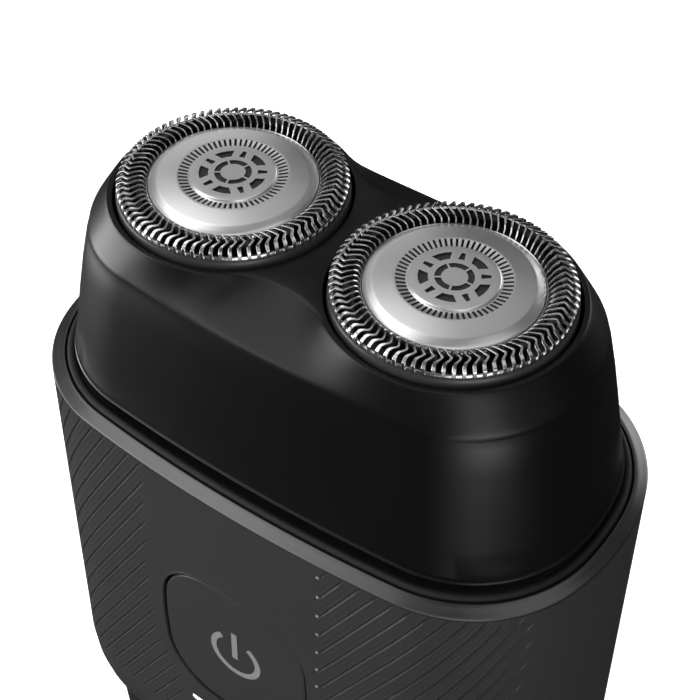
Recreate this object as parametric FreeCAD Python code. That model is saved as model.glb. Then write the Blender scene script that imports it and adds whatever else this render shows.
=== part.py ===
import FreeCAD, Part
import math
import os

from FreeCAD import Vector

# A two-headed rotary electric shaver, in millimetres. +Z is up, +X runs from the left head to the
# right head, and the front face with the power button looks along -Y. The origin is the centre of
# the bottom face.

# ---------------------------------------------------------------- driving dimensions
HEAD_SPACING = 26.0          # between the two head axes
HEAD_X = HEAD_SPACING / 2
CAP_RADIUS = 11.6            # outer radius of a slotted cap
WELL_RADIUS = 12.1           # bore of a head's well in the housing
TRACK_TOP_Z = 101.9          # top of the slotted shaving track
DECK_PLATEAU_Z = 99.94       # flat top of the housing around the wells
CREASE_Z = 96.27             # where the sloping shoulder meets the housing's side wall
HOUSING_BOTTOM_Z = 79.0
RIM_TOP_Z = 78.1
RIM_LOW_Z = 77.2             # lower edge of the rim, top edge of the sleeve
SLEEVE_LOW_Z = 20.5          # lower edge of the sleeve
TUCK_Z = 30.0                # where the sleeve starts to curve inwards
BASE_TOP_Z = 20.0            # top edge of the bottom cap's visible wall
WALL = 1.6                   # moulded wall thickness
FLARE = 0.023                # how much each side widens per millimetre downwards

# An oval outline is (half length, half width, side radius, end radius, corner radius).
CREASE = (28.06, 14.40, 197.0, 14.5, 11.7)
HOUSING_BOTTOM = (31.50, 16.70, 206.0, 23.6, 14.3)
RIM_INNER = (32.60, 18.20, 178.0, 33.0, 15.3)
RIM_OUTER = (33.95, 19.50, 174.0, 25.3, 15.8)
BUTTON = (9.85, 10.70, 47.0, 46.0, 7.0)

BUTTON_X = -0.2
BUTTON_Z = 52.3
BUTTON_GAP = 0.35
LIGHT_Z = 38.0
LIGHT_COUNT = 3
LIGHT_PITCH = 5.1
LIGHT_LENGTH = 4.2
LIGHT_HEIGHT = 1.1

SLOT_COUNT = 80              # hair slots in one cap
SLOT_WIDTH = 0.42
GUIDE_SLOT_COUNT = 60        # short slots in the disc of one cap
BLADE_COUNT = 15             # blades on one cutter
TILT_AXIS_Z = 93.8

GEAR_MODULE = 0.5
PINION_TEETH = 16
GEAR_TEETH = 36
GEAR_LOW_Z = 69.4
GEAR_THICKNESS = 2.0
PRESSURE_ANGLE = math.radians(20)
BACKLASH = 0.10

MOTOR_RADIUS = 9.0
MOTOR_LOW_Z = 43.0
SHELF_LOW_Z = 66.2           # shelf of the inner chassis that carries the motor and the axles
SHELF_TOP_Z = 68.4
MOTOR_SHAFT_RADIUS = 0.75
AXLE_RADIUS = 1.0
RUNNING_GAP = 0.05
EDGE_BEVEL = 0.12
SEAT_GAP = 0.02              # between parts of one body that are seated in each other
DECK_LOW_Z = 74.2
DECK_TOP_Z = 75.8
FRAME_LOW_Z = 88.2
FRAME_TOP_Z = 90.2
SEAT_RING_LOW_Z = 92.8
ROOF_Z = 94.67               # underside of the housing's roof round the wells
BOARD_FACE_Y = -12.92        # front of the circuit board that carries the parts
SADDLE_WAIST = 8.35          # half width of the housing's flat top between the heads
PLATEAU_RADIUS = 12.64       # outer edge of the flat top round a well
PLATEAU_SPLIT = math.radians(38)
SCREW_SPOTS = ((-25.5, 8.0), (25.5, 8.0), (-25.5, -8.0), (25.5, -8.0))
SOCKET_LENGTH = 9.0
SOCKET_WIDTH = 3.2
SOCKET_DEPTH = 7.4
BASE_SCREW_X = (-19.0, 19.0)

# Heights and insets of the sleeve's curved lower edge.
TUCK_STEPS = ((TUCK_Z, 0.0), (27.0, 0.25), (24.5, 0.8), (22.3, 1.5), (SLEEVE_LOW_Z, 2.3))

UP = Vector(0, 0, 1)
BACK = Vector(0, 1, 0)


# ---------------------------------------------------------------- shape helpers
def cylinder(radius, z_low, z_high, x=0.0, y=0.0):
    return Part.makeCylinder(radius, z_high - z_low, Vector(x, y, z_low))


def tube(outer, inner, z_low, z_high, x=0.0, y=0.0):
    return cylinder(outer, z_low, z_high, x, y).cut(cylinder(inner, z_low - 1, z_high + 1, x, y))


def box(x_low, x_high, y_low, y_high, z_low, z_high):
    corner = Vector(x_low, y_low, z_low)
    return Part.makeBox(x_high - x_low, y_high - y_low, z_high - z_low, corner)


def fuse(shapes):
    return shapes[0].multiFuse(shapes[1:]).removeSplitter()


def moved(shape, x=0.0, y=0.0, z=0.0):
    copy = shape.copy()
    copy.translate(Vector(x, y, z))
    return copy


def turned(shape, degrees, x=0.0, y=0.0):
    copy = shape.copy()
    copy.rotate(Vector(x, y, 0), UP, degrees)
    return copy


def ring_of(shape, count, first=0.0):
    return [turned(shape, first + 360.0 * i / count) for i in range(count)]


def revolved(profile):
    """Solid of revolution about Z from (radius, z) points."""
    points = [Vector(radius, 0, z) for radius, z in profile]
    face = Part.Face(Part.makePolygon(points + [points[0]]))
    return face.revolve(Vector(0, 0, 0), UP, 360)


def polygon_prism(points, z_low, z_high):
    corners = [Vector(x, y, z_low) for x, y in points]
    face = Part.Face(Part.makePolygon(corners + [corners[0]]))
    return face.extrude(Vector(0, 0, z_high - z_low))


def inset(outline, amount):
    return tuple(value - amount for value in outline)


def flared(outline, z):
    """The sleeve's outline at height z: it widens slightly towards the bottom."""
    extra = FLARE * (RIM_LOW_Z - z)
    half_x, half_y, side_r, end_r, corner_r = outline
    return (half_x + extra, half_y + extra, side_r, end_r, corner_r)


def oval_wire(outline, z):
    """Closed wire of eight tangent arcs, in order from the front side: side, corner, end, corner."""
    half_x, half_y, side_r, end_r, corner_r = outline
    side_c = Vector(0, side_r - half_y, 0)
    end_c = Vector(half_x - end_r, 0, 0)
    span = end_c.sub(side_c)
    reach_side = side_r - corner_r
    reach_end = end_r - corner_r
    along = (reach_side ** 2 - reach_end ** 2 + span.Length ** 2) / (2 * span.Length)
    across = math.sqrt(reach_side ** 2 - along ** 2)
    unit = Vector(span).normalize()
    corner_c = side_c + unit * along + Vector(-unit.y, unit.x, 0) * across
    side_tangent = corner_c + (corner_c.sub(side_c)).normalize() * corner_r
    end_tangent = corner_c + (corner_c.sub(end_c)).normalize() * corner_r
    bisector = (side_tangent.sub(corner_c) + end_tangent.sub(corner_c)).normalize()
    corner_mid = corner_c + bisector * corner_r

    def spot(point, side_x, side_y):
        return Vector(point.x * side_x, -point.y * side_y, z)

    edges = []
    for turn in (1, -1):
        front = (spot(side_tangent, -turn, -turn), Vector(0, -turn * half_y, z),
                 spot(side_tangent, turn, -turn))
        corner_in = (front[2], spot(corner_mid, turn, -turn), spot(end_tangent, turn, -turn))
        end = (corner_in[2], Vector(turn * half_x, 0, z), spot(end_tangent, turn, turn))
        corner_out = (end[2], spot(corner_mid, turn, turn), spot(side_tangent, turn, turn))
        for points in (front, corner_in, end, corner_out):
            edges.append(Part.Arc(*points).toShape())
    return Part.Wire(edges)


def oval_prism(outline, z_low, z_high):
    return Part.Face(oval_wire(outline, z_low)).extrude(Vector(0, 0, z_high - z_low))


def oval_loft(sections):
    """Ruled solid through (outline, z) sections."""
    return Part.makeLoft([oval_wire(outline, z) for outline, z in sections], True, True)


def front_prism(outline, x, z, y_low, y_high):
    """Oval outline seen from the front, extruded along Y."""
    solid = oval_prism(outline, 0, y_high - y_low)
    solid.rotate(Vector(0, 0, 0), Vector(1, 0, 0), 90)
    solid.translate(Vector(x, y_high, z))
    return solid


def pill_prism(length, height, x, z, y_low, y_high):
    """Round-ended bar seen from the front, extruded along Y."""
    radius = height / 2
    reach = length / 2 - radius
    parts = [box(x - reach, x + reach, y_low, y_high, z - radius, z + radius)]
    for side in (-1, 1):
        centre = Vector(x + side * reach, y_low, z)
        parts.append(Part.makeCylinder(radius, y_high - y_low, centre, BACK))
    return fuse(parts)


def gear_points(teeth, tip_radius, root_radius, first_degrees):
    """Involute tooth outline with flanks running straight to the root below the base circle."""
    pitch_radius = GEAR_MODULE * teeth / 2
    base_radius = pitch_radius * math.cos(PRESSURE_ANGLE)
    inv_pitch = math.tan(PRESSURE_ANGLE) - PRESSURE_ANGLE
    half_tooth = math.pi / (2 * teeth) - BACKLASH / (2 * pitch_radius)
    flank = []
    start = max(root_radius, base_radius)
    for i in range(5):
        radius = start + (tip_radius - start) * i / 4
        angle = math.acos(min(1.0, base_radius / radius))
        flank.append((radius, half_tooth + inv_pitch - (math.tan(angle) - angle)))
    flank.insert(0, (root_radius - 0.001, flank[0][1]))
    points = []
    for tooth in range(teeth):
        centre = math.radians(first_degrees) + 2 * math.pi * tooth / teeth
        for radius, half in flank:
            points.append((radius * math.cos(centre - half), radius * math.sin(centre - half)))
        for radius, half in reversed(flank):
            points.append((radius * math.cos(centre + half), radius * math.sin(centre + half)))
    return points


# ---------------------------------------------------------------- handle shells
def sleeve_solid(thickness):
    """Outer form of the sleeve, moved inwards by a wall thickness."""
    sections = [(inset(RIM_OUTER, thickness), RIM_LOW_Z)]
    for z, tuck in TUCK_STEPS:
        sections.append((inset(flared(RIM_OUTER, z), thickness + tuck), z))
    return oval_loft(sections)


def button_opening():
    outline = inset(BUTTON, -BUTTON_GAP)
    return front_prism(outline, BUTTON_X, BUTTON_Z, -25, -12)


def light_positions():
    first = -LIGHT_PITCH * (LIGHT_COUNT - 1) / 2
    return [first + LIGHT_PITCH * i for i in range(LIGHT_COUNT)]


def body_sleeve():
    shell = sleeve_solid(0.0).cut(sleeve_solid(WALL))
    shell = shell.cut(button_opening())
    for x in light_positions():
        shell = shell.cut(pill_prism(LIGHT_LENGTH, LIGHT_HEIGHT, x, LIGHT_Z, -25, -12))
    return shell


def rim_trim():
    """Rim band with a sloping top face and a skirt that sits inside the sleeve."""
    band = oval_loft([(RIM_OUTER, RIM_LOW_Z), (RIM_INNER, RIM_TOP_Z)])
    skirt = oval_prism(inset(RIM_OUTER, WALL + SEAT_GAP), DECK_LOW_Z, RIM_LOW_Z)
    hole = oval_prism(inset(RIM_INNER, 0.5), DECK_LOW_Z - 1, RIM_TOP_Z + 1)
    return fuse([band, skirt]).cut(hole)


def top_deck():
    """Cover over the gears with two spindle openings."""
    deck = oval_prism(inset(RIM_INNER, 0.55), DECK_LOW_Z, DECK_TOP_Z)
    for side in (-1, 1):
        x = side * HEAD_X
        deck = deck.fuse(cylinder(6.2, DECK_TOP_Z - 0.1, DECK_TOP_Z + 1.2, x))
        deck = deck.cut(cylinder(4.9, DECK_LOW_Z - 1, DECK_TOP_Z + 3, x))
    ledge = oval_prism(inset(RIM_INNER, 0.55), DECK_TOP_Z - 0.1, DECK_TOP_Z + 1.0)
    ledge = ledge.cut(oval_prism(inset(RIM_INNER, 2.4), DECK_TOP_Z - 1, DECK_TOP_Z + 2))
    return fuse([deck, ledge])


def deck_seal():
    """Rubber bead around the deck's ledge that the lift-off shaving unit stands in."""
    low = DECK_TOP_Z + 1.0
    outer = [(inset(RIM_INNER, 0.6), low), (inset(RIM_INNER, 0.6), low + 0.8),
             (inset(RIM_INNER, 0.9), low + 1.25)]
    inner = [(inset(RIM_INNER, 2.1), low - 0.5), (inset(RIM_INNER, 1.5), low + 1.5)]
    return oval_loft(outer).cut(oval_loft(inner))


def shaft_seal(x):
    """Rubber ring between the deck's spindle opening and the spindle."""
    ring = revolved([(3.7, DECK_LOW_Z), (4.9 - SEAT_GAP, DECK_LOW_Z), (4.9 - SEAT_GAP, DECK_TOP_Z + 1.2),
                     (5.6, DECK_TOP_Z + 1.22), (5.6, DECK_TOP_Z + 1.8), (3.7, DECK_TOP_Z + 1.8)])
    return moved(ring, x)


def inner_chassis():
    """Frame that holds motor, battery and board: back wall, motor shelf, cradle and feet."""
    shelf = oval_prism(inset(RIM_OUTER, WALL + 0.4), SHELF_LOW_Z, SHELF_TOP_Z)
    back_wall = box(-24, 24, 14.4, 15.8, 22.0, SHELF_LOW_Z)
    floor = box(-28, 28, -11.5, 15.8, 20.4, 22.0)
    ribs = [box(x - 0.7, x + 0.7, -11.3, 14.4, 22.0, SHELF_LOW_Z) for x in (-11.4, 11.4)]
    cradle = box(-11.4, 11.4, -9.0, 14.4, MOTOR_LOW_Z - 2.0, MOTOR_LOW_Z - 0.1)
    frame = fuse([shelf, back_wall, floor, cradle] + ribs).common(sleeve_solid(WALL + 0.35))
    frame = frame.cut(cylinder(3.0, SHELF_LOW_Z - 1, SHELF_TOP_Z + 1))
    for side in (-1, 1):
        frame = frame.cut(cylinder(AXLE_RADIUS, SHELF_LOW_Z + 0.4, SHELF_TOP_Z + 1, side * HEAD_X))
    for x, y in SCREW_SPOTS:
        frame = frame.cut(cylinder(0.7, SHELF_LOW_Z - 1, SHELF_TOP_Z + 1, x, y))
    return frame


def deck_screws():
    """Four screws with their heads on the motor shelf."""
    screws = []
    for x, y in SCREW_SPOTS:
        shank = cylinder(0.7 - SEAT_GAP, SHELF_LOW_Z - 2.4, SHELF_TOP_Z + 0.2, x, y)
        head = cylinder(1.5, SHELF_TOP_Z + 0.02, SHELF_TOP_Z + 1.1, x, y)
        slot = box(x - 1.1, x + 1.1, y - 0.2, y + 0.2, SHELF_TOP_Z + 0.7, SHELF_TOP_Z + 2)
        screws.append(fuse([shank, head]).cut(slot))
    return Part.makeCompound(screws)


def motor_can():
    can = revolved([(0.9, SHELF_LOW_Z), (0.9, 64.4), (7.6, 64.4), (7.6, MOTOR_LOW_Z + 1.0),
                    (1.6, MOTOR_LOW_Z + 1.0), (1.6, MOTOR_LOW_Z), (MOTOR_RADIUS, MOTOR_LOW_Z),
                    (MOTOR_RADIUS, SHELF_LOW_Z - 0.1), (2.9, SHELF_LOW_Z - 0.1),
                    (2.9, SHELF_TOP_Z - 0.4), (0.9, SHELF_TOP_Z - 0.4)])
    return can


def motor_end_cap():
    """Plastic end of the motor with its rear bearing and two terminals."""
    cap = revolved([(0.8, MOTOR_LOW_Z + 0.1), (0.8, MOTOR_LOW_Z + 2.4), (7.4, MOTOR_LOW_Z + 2.4),
                    (7.4, MOTOR_LOW_Z + 1.05), (1.5, MOTOR_LOW_Z + 1.05), (1.5, MOTOR_LOW_Z + 0.1)])
    return cap


def motor_shaft():
    return cylinder(MOTOR_SHAFT_RADIUS, MOTOR_LOW_Z + 0.6, 72.4)


def motor_armature():
    """Three-pole armature pressed on the motor's shaft."""
    bore = MOTOR_SHAFT_RADIUS + SEAT_GAP
    core = tube(2.6, bore, 49.0, 61.0)
    pole = box(1.6, 5.0, -1.3, 1.3, 49.0, 61.0)
    shoe = cylinder(6.9, 49.0, 61.0).cut(cylinder(5.0, 48, 62))
    wedge = polygon_prism([(4.2, -3.0), (8.0, -5.4), (8.0, 5.4), (4.2, 3.0)], 49.0, 61.0)
    arm = pole.fuse(shoe.common(wedge))
    return fuse([core] + ring_of(arm, 3, 90)).cut(cylinder(bore, 48, 62))


def motor_pinion():
    tip = GEAR_MODULE * PINION_TEETH / 2 + 0.42
    root = GEAR_MODULE * PINION_TEETH / 2 - 0.66
    points = gear_points(PINION_TEETH, tip, root, 0.0)
    return polygon_prism(points, GEAR_LOW_Z - 0.4, GEAR_LOW_Z + GEAR_THICKNESS + 0.4).cut(
        cylinder(MOTOR_SHAFT_RADIUS + SEAT_GAP, 60, 80))


def drive_gear(x):
    """Head gear with a hub; two flats on the hub carry the sliding spindle round."""
    tip = GEAR_MODULE * GEAR_TEETH / 2 + 0.42
    root = GEAR_MODULE * GEAR_TEETH / 2 - 0.62
    top = GEAR_LOW_Z + GEAR_THICKNESS
    wheel = polygon_prism(gear_points(GEAR_TEETH, tip, root, 5.0), GEAR_LOW_Z, top)
    hub = cylinder(2.4, GEAR_LOW_Z - 0.4, 77.0)
    hub = hub.cut(box(-3, 3, 1.9, 4, top + 0.2, 78)).cut(box(-3, 3, -4, -1.9, top + 0.2, 78))
    gear = fuse([wheel, hub]).cut(cylinder(AXLE_RADIUS + RUNNING_GAP, GEAR_LOW_Z - 1, 76.0))
    return moved(gear, x)


def gear_axles():
    pins = [cylinder(AXLE_RADIUS - 0.005, SHELF_LOW_Z + 0.5, 75.4, side * HEAD_X) for side in (-1, 1)]
    return Part.makeCompound(pins)


def drive_spindle(x):
    """Hollow spindle that telescopes on the gear's hub and ends in a driving tip."""
    body = revolved([(0.0, 74.6), (3.4, 74.6), (3.4, 82.0), (2.6, 84.5), (1.7, 90.0),
                     (1.7, 92.6), (0.0, 92.6)])
    tip = box(-1.0, 1.0, -1.0, 1.0, 92.5, 96.6)
    bore = cylinder(2.4 + 0.1, 74, 82.0)
    flats = [box(-3, 3, 1.98, 3, 74, 77.2), box(-3, 3, -3, -1.98, 74, 77.2)]
    bore = bore.cut(flats[0]).cut(flats[1])
    return moved(fuse([body, tip]).cut(bore), x)


def spindle_spring(x):
    """Compression spring between the gear's hub and the spindle's crown, as stacked coils."""
    low = 77.1
    high = 81.95
    coils = 5
    wire = 0.36
    pitch = (high - low - wire) / (coils - 1)
    rings = [tube(1.9, 1.4, low + pitch * i, low + pitch * i + wire) for i in range(coils)]
    posts = []
    for i in range(coils - 1):
        post = box(1.45, 1.84, -0.25, 0.25, low + pitch * i + 0.1, low + pitch * (i + 1) + 0.2)
        posts.append(turned(post, 140 * i))
    return moved(fuse(rings + posts), x)


def battery_cell():
    cell = revolved([(0.0, 22.1), (7.0, 22.1), (7.0, 62.0), (6.4, 62.6), (2.4, 62.6), (2.4, 63.6),
                     (0.0, 63.6)])
    return moved(cell, -19.6, 4.0)


def battery_tabs():
    """Spot-welded strips on the cell's two ends that run to the board."""
    top = [box(-22.0, -17.2, 2.0, 6.0, 63.62, 63.82), box(-18.4, -17.2, -11.0, 3.0, 63.62, 63.82),
           box(-18.4, -17.2, -11.0, -10.8, 58.0, 63.82)]
    return fuse(top)


def circuit_board():
    board = box(-21.0, 21.0, -12.9, -11.7, 24.0, 63.0)
    corner = cylinder(1.1, 0, 30)
    corner.rotate(Vector(0, 0, 0), Vector(1, 0, 0), 90)
    for x, z in ((-18.6, 26.4), (18.6, 26.4), (-18.6, 60.6), (18.6, 60.6)):
        board = board.cut(moved(corner, x, 5, z))
    return board


def board_components():
    """Charger, controller, driver and small parts soldered to the board."""
    face = BOARD_FACE_Y
    chips = [box(13.0, 18.0, face - 1.0, face, 45.0, 50.0), box(13.0, 16.0, face - 0.9, face, 36.0, 40.0),
             box(-17.0, -13.0, face - 1.4, face, 34.0, 38.0), box(-16.6, -14.0, face - 1.2, face, 50.0, 54.0)]
    small = [box(14.0, 15.6, face - 0.7, face, z, z + 0.9) for z in (53.0, 55.5, 58.0, 31.0)]
    lamps = [box(x - 1.2, x + 1.2, face - 0.9, face, LIGHT_Z - 0.7, LIGHT_Z + 0.7) for x in light_positions()]
    return Part.makeCompound(chips + small + lamps)


def tact_switch():
    face = BOARD_FACE_Y
    base = box(BUTTON_X - 3.0, BUTTON_X + 3.0, face - 1.8, face, BUTTON_Z - 3.0, BUTTON_Z + 3.0)
    stem = Part.makeCylinder(1.6, 0.7, Vector(BUTTON_X, face - 2.5, BUTTON_Z), BACK)
    return fuse([base, stem])


def light_lenses():
    """Three pill-shaped light windows flush with the sleeve's front face."""
    lenses = []
    for x in light_positions():
        size = (LIGHT_LENGTH - 0.1, LIGHT_HEIGHT - 0.1)
        lens = pill_prism(size[0], size[1], x, LIGHT_Z, -25, -18.4).common(sleeve_solid(0.05))
        lenses.append(lens)
    return Part.makeCompound(lenses)


def light_guide():
    """Clear bars that lead the board's lamps to the light windows."""
    bars = [box(x - 1.5, x + 1.5, -18.3, -14.2, LIGHT_Z - 0.5, LIGHT_Z + 0.5) for x in light_positions()]
    return Part.makeCompound(bars)


def button_membrane():
    """Sealing plate behind the button's opening with a hole for the plunger."""
    plate = front_prism(inset(BUTTON, -2.2), BUTTON_X, BUTTON_Z, -16.9, -16.2)
    hole = Part.makeCylinder(2.2, 4, Vector(BUTTON_X, -18, BUTTON_Z), BACK)
    return plate.cut(hole)


def power_button():
    """Key that follows the sleeve's outer face, with a plunger for the switch behind it."""
    blank = front_prism(BUTTON, BUTTON_X, BUTTON_Z, -25, -17.6)
    plate = blank.common(sleeve_solid(0.12)).cut(sleeve_solid(1.5))
    plunger = Part.makeCylinder(1.5, 3.2, Vector(BUTTON_X, -19.05, BUTTON_Z), BACK)
    return fuse([plate, plunger])


# ---------------------------------------------------------------- bottom
def slot_prism(length, width, z_low, z_high):
    reach = (length - width) / 2
    parts = [box(-reach, reach, -width / 2, width / 2, z_low, z_high)]
    for side in (-1, 1):
        parts.append(cylinder(width / 2, z_low, z_high, side * reach))
    return fuse(parts)


def bottom_cap():
    """Dark end cap under the sleeve, with the charging socket's opening in its underside."""
    base = flared(RIM_OUTER, SLEEVE_LOW_Z)
    outer = [(inset(base, 2.6), BASE_TOP_Z), (inset(base, 3.0), 9.0), (inset(base, 3.6), 3.2),
             (inset(base, 4.3), 1.4), (inset(base, 5.6), 0.35), (inset(base, 6.6), 0.0)]
    inner = [(inset(base, 4.3), BASE_TOP_Z + 1), (inset(base, 4.9), 6.0), (inset(base, 6.6), 2.0)]
    shell = oval_loft(outer).cut(oval_loft(inner))
    collar = oval_prism(inset(base, 4.0), BASE_TOP_Z - 3.0, BASE_TOP_Z + 0.35)
    collar = collar.cut(oval_prism(inset(base, 5.6), BASE_TOP_Z - 4, BASE_TOP_Z + 1))
    shell = fuse([shell, collar])
    shell = shell.cut(slot_prism(SOCKET_LENGTH + 0.6, SOCKET_WIDTH + 0.6, -1, 5))
    for x in BASE_SCREW_X:
        boss = cylinder(3.2, 1.0, 6.0, x)
        shell = fuse([shell, boss])
        shell = shell.cut(cylinder(2.1, -1, 2.2, x)).cut(cylinder(1.05, 0, 7, x))
    return shell


def bottom_screws():
    """Two countersunk screws in the underside, with cross slots."""
    screws = []
    for x in BASE_SCREW_X:
        screw = revolved([(0.0, 0.7), (2.0, 0.7), (2.0, 1.3), (1.0, 2.15), (1.0, 9.0), (0.0, 9.0)])
        screw = moved(screw, x)
        for size in ((1.3, 0.22), (0.22, 1.3)):
            screw = screw.cut(box(x - size[0], x + size[0], -size[1], size[1], 0, 1.2))
        screws.append(screw)
    return Part.makeCompound(screws)


def charging_socket():
    """Metal shell of the charging socket, mouth downwards."""
    low = 0.6
    high = low + SOCKET_DEPTH
    shell = slot_prism(SOCKET_LENGTH, SOCKET_WIDTH, low, high)
    return shell.cut(slot_prism(SOCKET_LENGTH - 0.6, SOCKET_WIDTH - 0.6, low - 1, high - 0.8))


def socket_tongue():
    """Contact tongue and insulator inside the socket."""
    back = slot_prism(SOCKET_LENGTH - 0.7, SOCKET_WIDTH - 0.7, 6.4, 7.15)
    tongue = box(-3.3, 3.3, -0.35, 0.35, 2.2, 6.5)
    return fuse([back, tongue])


def socket_board():
    """Small board that carries the socket."""
    return box(-9.0, 9.0, -5.5, 5.5, 8.05, 9.05)


# ---------------------------------------------------------------- lift-off shaving unit
def plateau_wire(z):
    """Figure-of-eight outline in the same eight arcs as an oval: waist, two quarters and an end."""
    radius = PLATEAU_RADIUS
    fillet = (HEAD_X ** 2 + SADDLE_WAIST ** 2 - radius ** 2) / (2 * (radius - SADDLE_WAIST))
    touch = math.atan2(SADDLE_WAIST + fillet, -HEAD_X)

    def rim(angle, side_x, side_y):
        x = HEAD_X + radius * math.cos(angle)
        return Vector(x * side_x, radius * math.sin(angle) * side_y, z)

    edges = []
    for turn in (1, -1):
        front = (rim(touch, -turn, -turn), Vector(0, -turn * SADDLE_WAIST, z), rim(touch, turn, -turn))
        middle = (touch + PLATEAU_SPLIT) / 2
        corner_in = (front[2], rim(middle, turn, -turn), rim(PLATEAU_SPLIT, turn, -turn))
        end = (corner_in[2], rim(0.0, turn, 1), rim(PLATEAU_SPLIT, turn, turn))
        corner_out = (end[2], rim(middle, turn, turn), rim(touch, turn, turn))
        for points in (front, corner_in, end, corner_out):
            edges.append(Part.Arc(*points).toShape())
    return Part.Wire(edges)


def housing_shoulder():
    """Sloping shoulder from the crease up to the figure-of-eight plateau."""
    return Part.makeLoft([oval_wire(CREASE, CREASE_Z), plateau_wire(DECK_PLATEAU_Z)], True, True)


def head_housing():
    skin = oval_loft([(HOUSING_BOTTOM, HOUSING_BOTTOM_Z), (CREASE, CREASE_Z)])
    solid = fuse([skin, housing_shoulder()])
    hollow = oval_loft([(inset(HOUSING_BOTTOM, WALL), HOUSING_BOTTOM_Z - 0.01),
                        (inset(CREASE, WALL), CREASE_Z - 1.6)])
    web = oval_prism(inset(CREASE, 1.0), ROOF_Z, CREASE_Z)
    wells = []
    for side in (-1, 1):
        wells.append(cylinder(WELL_RADIUS + 1.0, 94.2, 97.0, side * HEAD_X))
    limit = oval_prism(inset(CREASE, 0.8), 90, 98)
    wells = [well.common(limit) for well in wells]
    shell = fuse([solid.cut(hollow), web] + wells + housing_hooks())
    for side in (-1, 1):
        x = side * HEAD_X
        shell = shell.cut(cylinder(WELL_RADIUS, 90, 101, x))
        bevel = Part.makeCone(WELL_RADIUS, WELL_RADIUS + EDGE_BEVEL, EDGE_BEVEL,
                              Vector(x, 0, DECK_PLATEAU_Z - EDGE_BEVEL))
        shell = shell.cut(bevel)
    return fuse([shell, frame_rail()])


def housing_hooks():
    """Two hooks under the housing's web that the retainer lock's cross bar sits in."""
    hooks = []
    for side in (-1, 1):
        leg = box(-1.0, 1.0, 2.35, 3.1, 90.6, 95.2)
        foot = box(-1.0, 1.0, 1.3, 3.1, 90.6, 91.3)
        hook = fuse([leg, foot])
        if side < 0:
            hook = hook.mirror(Vector(0, 0, 0), BACK)
        hooks.append(hook)
    return hooks


def frame_rail():
    """Ledge inside the housing wall that the retaining frame is pulled up against."""
    outline = inset(housing_outline(91.0), 0.8)
    rail = oval_prism(outline, FRAME_TOP_Z + 0.05, FRAME_TOP_Z + 1.0)
    return rail.cut(oval_prism(inset(housing_outline(91.0), WALL + 1.6), 89, 92))


def housing_outline(z):
    share = (z - HOUSING_BOTTOM_Z) / (CREASE_Z - HOUSING_BOTTOM_Z)
    return tuple(low + (high - low) * share for low, high in zip(HOUSING_BOTTOM, CREASE))


def retaining_frame():
    """Plate that holds both heads from below, with an opening under each head."""
    outline = inset(housing_outline(FRAME_TOP_Z), WALL + 0.8)
    plate = oval_prism(outline, FRAME_LOW_Z, FRAME_TOP_Z)
    for side in (-1, 1):
        x = side * HEAD_X
        plate = plate.cut(cylinder(7.6, FRAME_LOW_Z - 1, FRAME_TOP_Z + 1, x))
        plate = plate.fuse(tube(8.6, 7.6, FRAME_TOP_Z - 0.1, FRAME_TOP_Z + 0.9, x))
        for angle in (45, 135, 225, 315):
            window = tube(11.6, 9.2, FRAME_LOW_Z - 1, FRAME_LOW_Z + 1.2)
            sector = polygon_prism([(0, 0), (14, -3.2), (14, 3.2)], FRAME_LOW_Z - 1, FRAME_LOW_Z + 1.2)
            plate = plate.cut(moved(turned(window.common(sector), angle), x))
    return plate.cut(cylinder(1.0, FRAME_LOW_Z - 1, FRAME_TOP_Z + 1))


def retainer_lock():
    """Quarter-turn knob under the frame whose cross bar hangs in the housing's hooks."""
    knob = cylinder(4.0, 85.9, FRAME_LOW_Z - 0.1)
    grip = box(-4.6, 4.6, -0.8, 0.8, 84.4, 87.0)
    stud = cylinder(0.93, FRAME_LOW_Z - 0.5, 92.3)
    bar = box(-0.9, 0.9, -2.05, 2.05, 91.42, 92.3)
    return fuse([knob, grip, stud, bar])


# ---------------------------------------------------------------- one shaving head
def seat_ring(x):
    """Ring that rides on the float spring and carries the head's two tilt pins."""
    ring = tube(10.6, 8.9, SEAT_RING_LOW_Z, SEAT_RING_LOW_Z + 2.0)
    hole = Part.makeCylinder(0.6, 24, Vector(0, -12, TILT_AXIS_Z), BACK)
    return moved(ring.cut(hole), x)


def float_spring(x):
    """Wave spring between the retaining frame and the seat ring: three flat turns with crests."""
    low = FRAME_TOP_Z + 0.02
    high = SEAT_RING_LOW_Z - 0.02
    strip = 0.3
    pitch = (high - low - strip) / 2
    turns = [tube(10.1, 9.1, low + pitch * i, low + pitch * i + strip) for i in range(3)]
    crests = []
    for i in range(2):
        crest = box(9.1, 10.1, -0.6, 0.6, low + pitch * i, low + pitch * (i + 1) + strip)
        crests.extend(ring_of(crest.common(tube(10.1, 9.1, low, high)), 3, 20 + 60 * i))
    return moved(fuse(turns + crests), x)


def head_carrier(x):
    """Plastic ring that holds the cap; two ears with pins hang in the seat ring."""
    ring = revolved([(10.95, 95.4), (11.65, 95.4), (11.68, 100.5), (11.28, 100.5), (11.28, 98.6),
                     (10.95, 98.6)])
    ears = []
    for side in (-1, 1):
        ear = tube(11.65, 10.95, 92.9, 95.6).common(box(-1.6, 1.6, 8, 13, 92, 96))
        pin = Part.makeCylinder(0.55, 1.6, Vector(0, 9.5, TILT_AXIS_Z), BACK)
        arm = fuse([ear, pin])
        if side < 0:
            arm = arm.mirror(Vector(0, 0, 0), BACK)
        ears.append(arm)
    return moved(fuse([ring] + ears), x)


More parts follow.
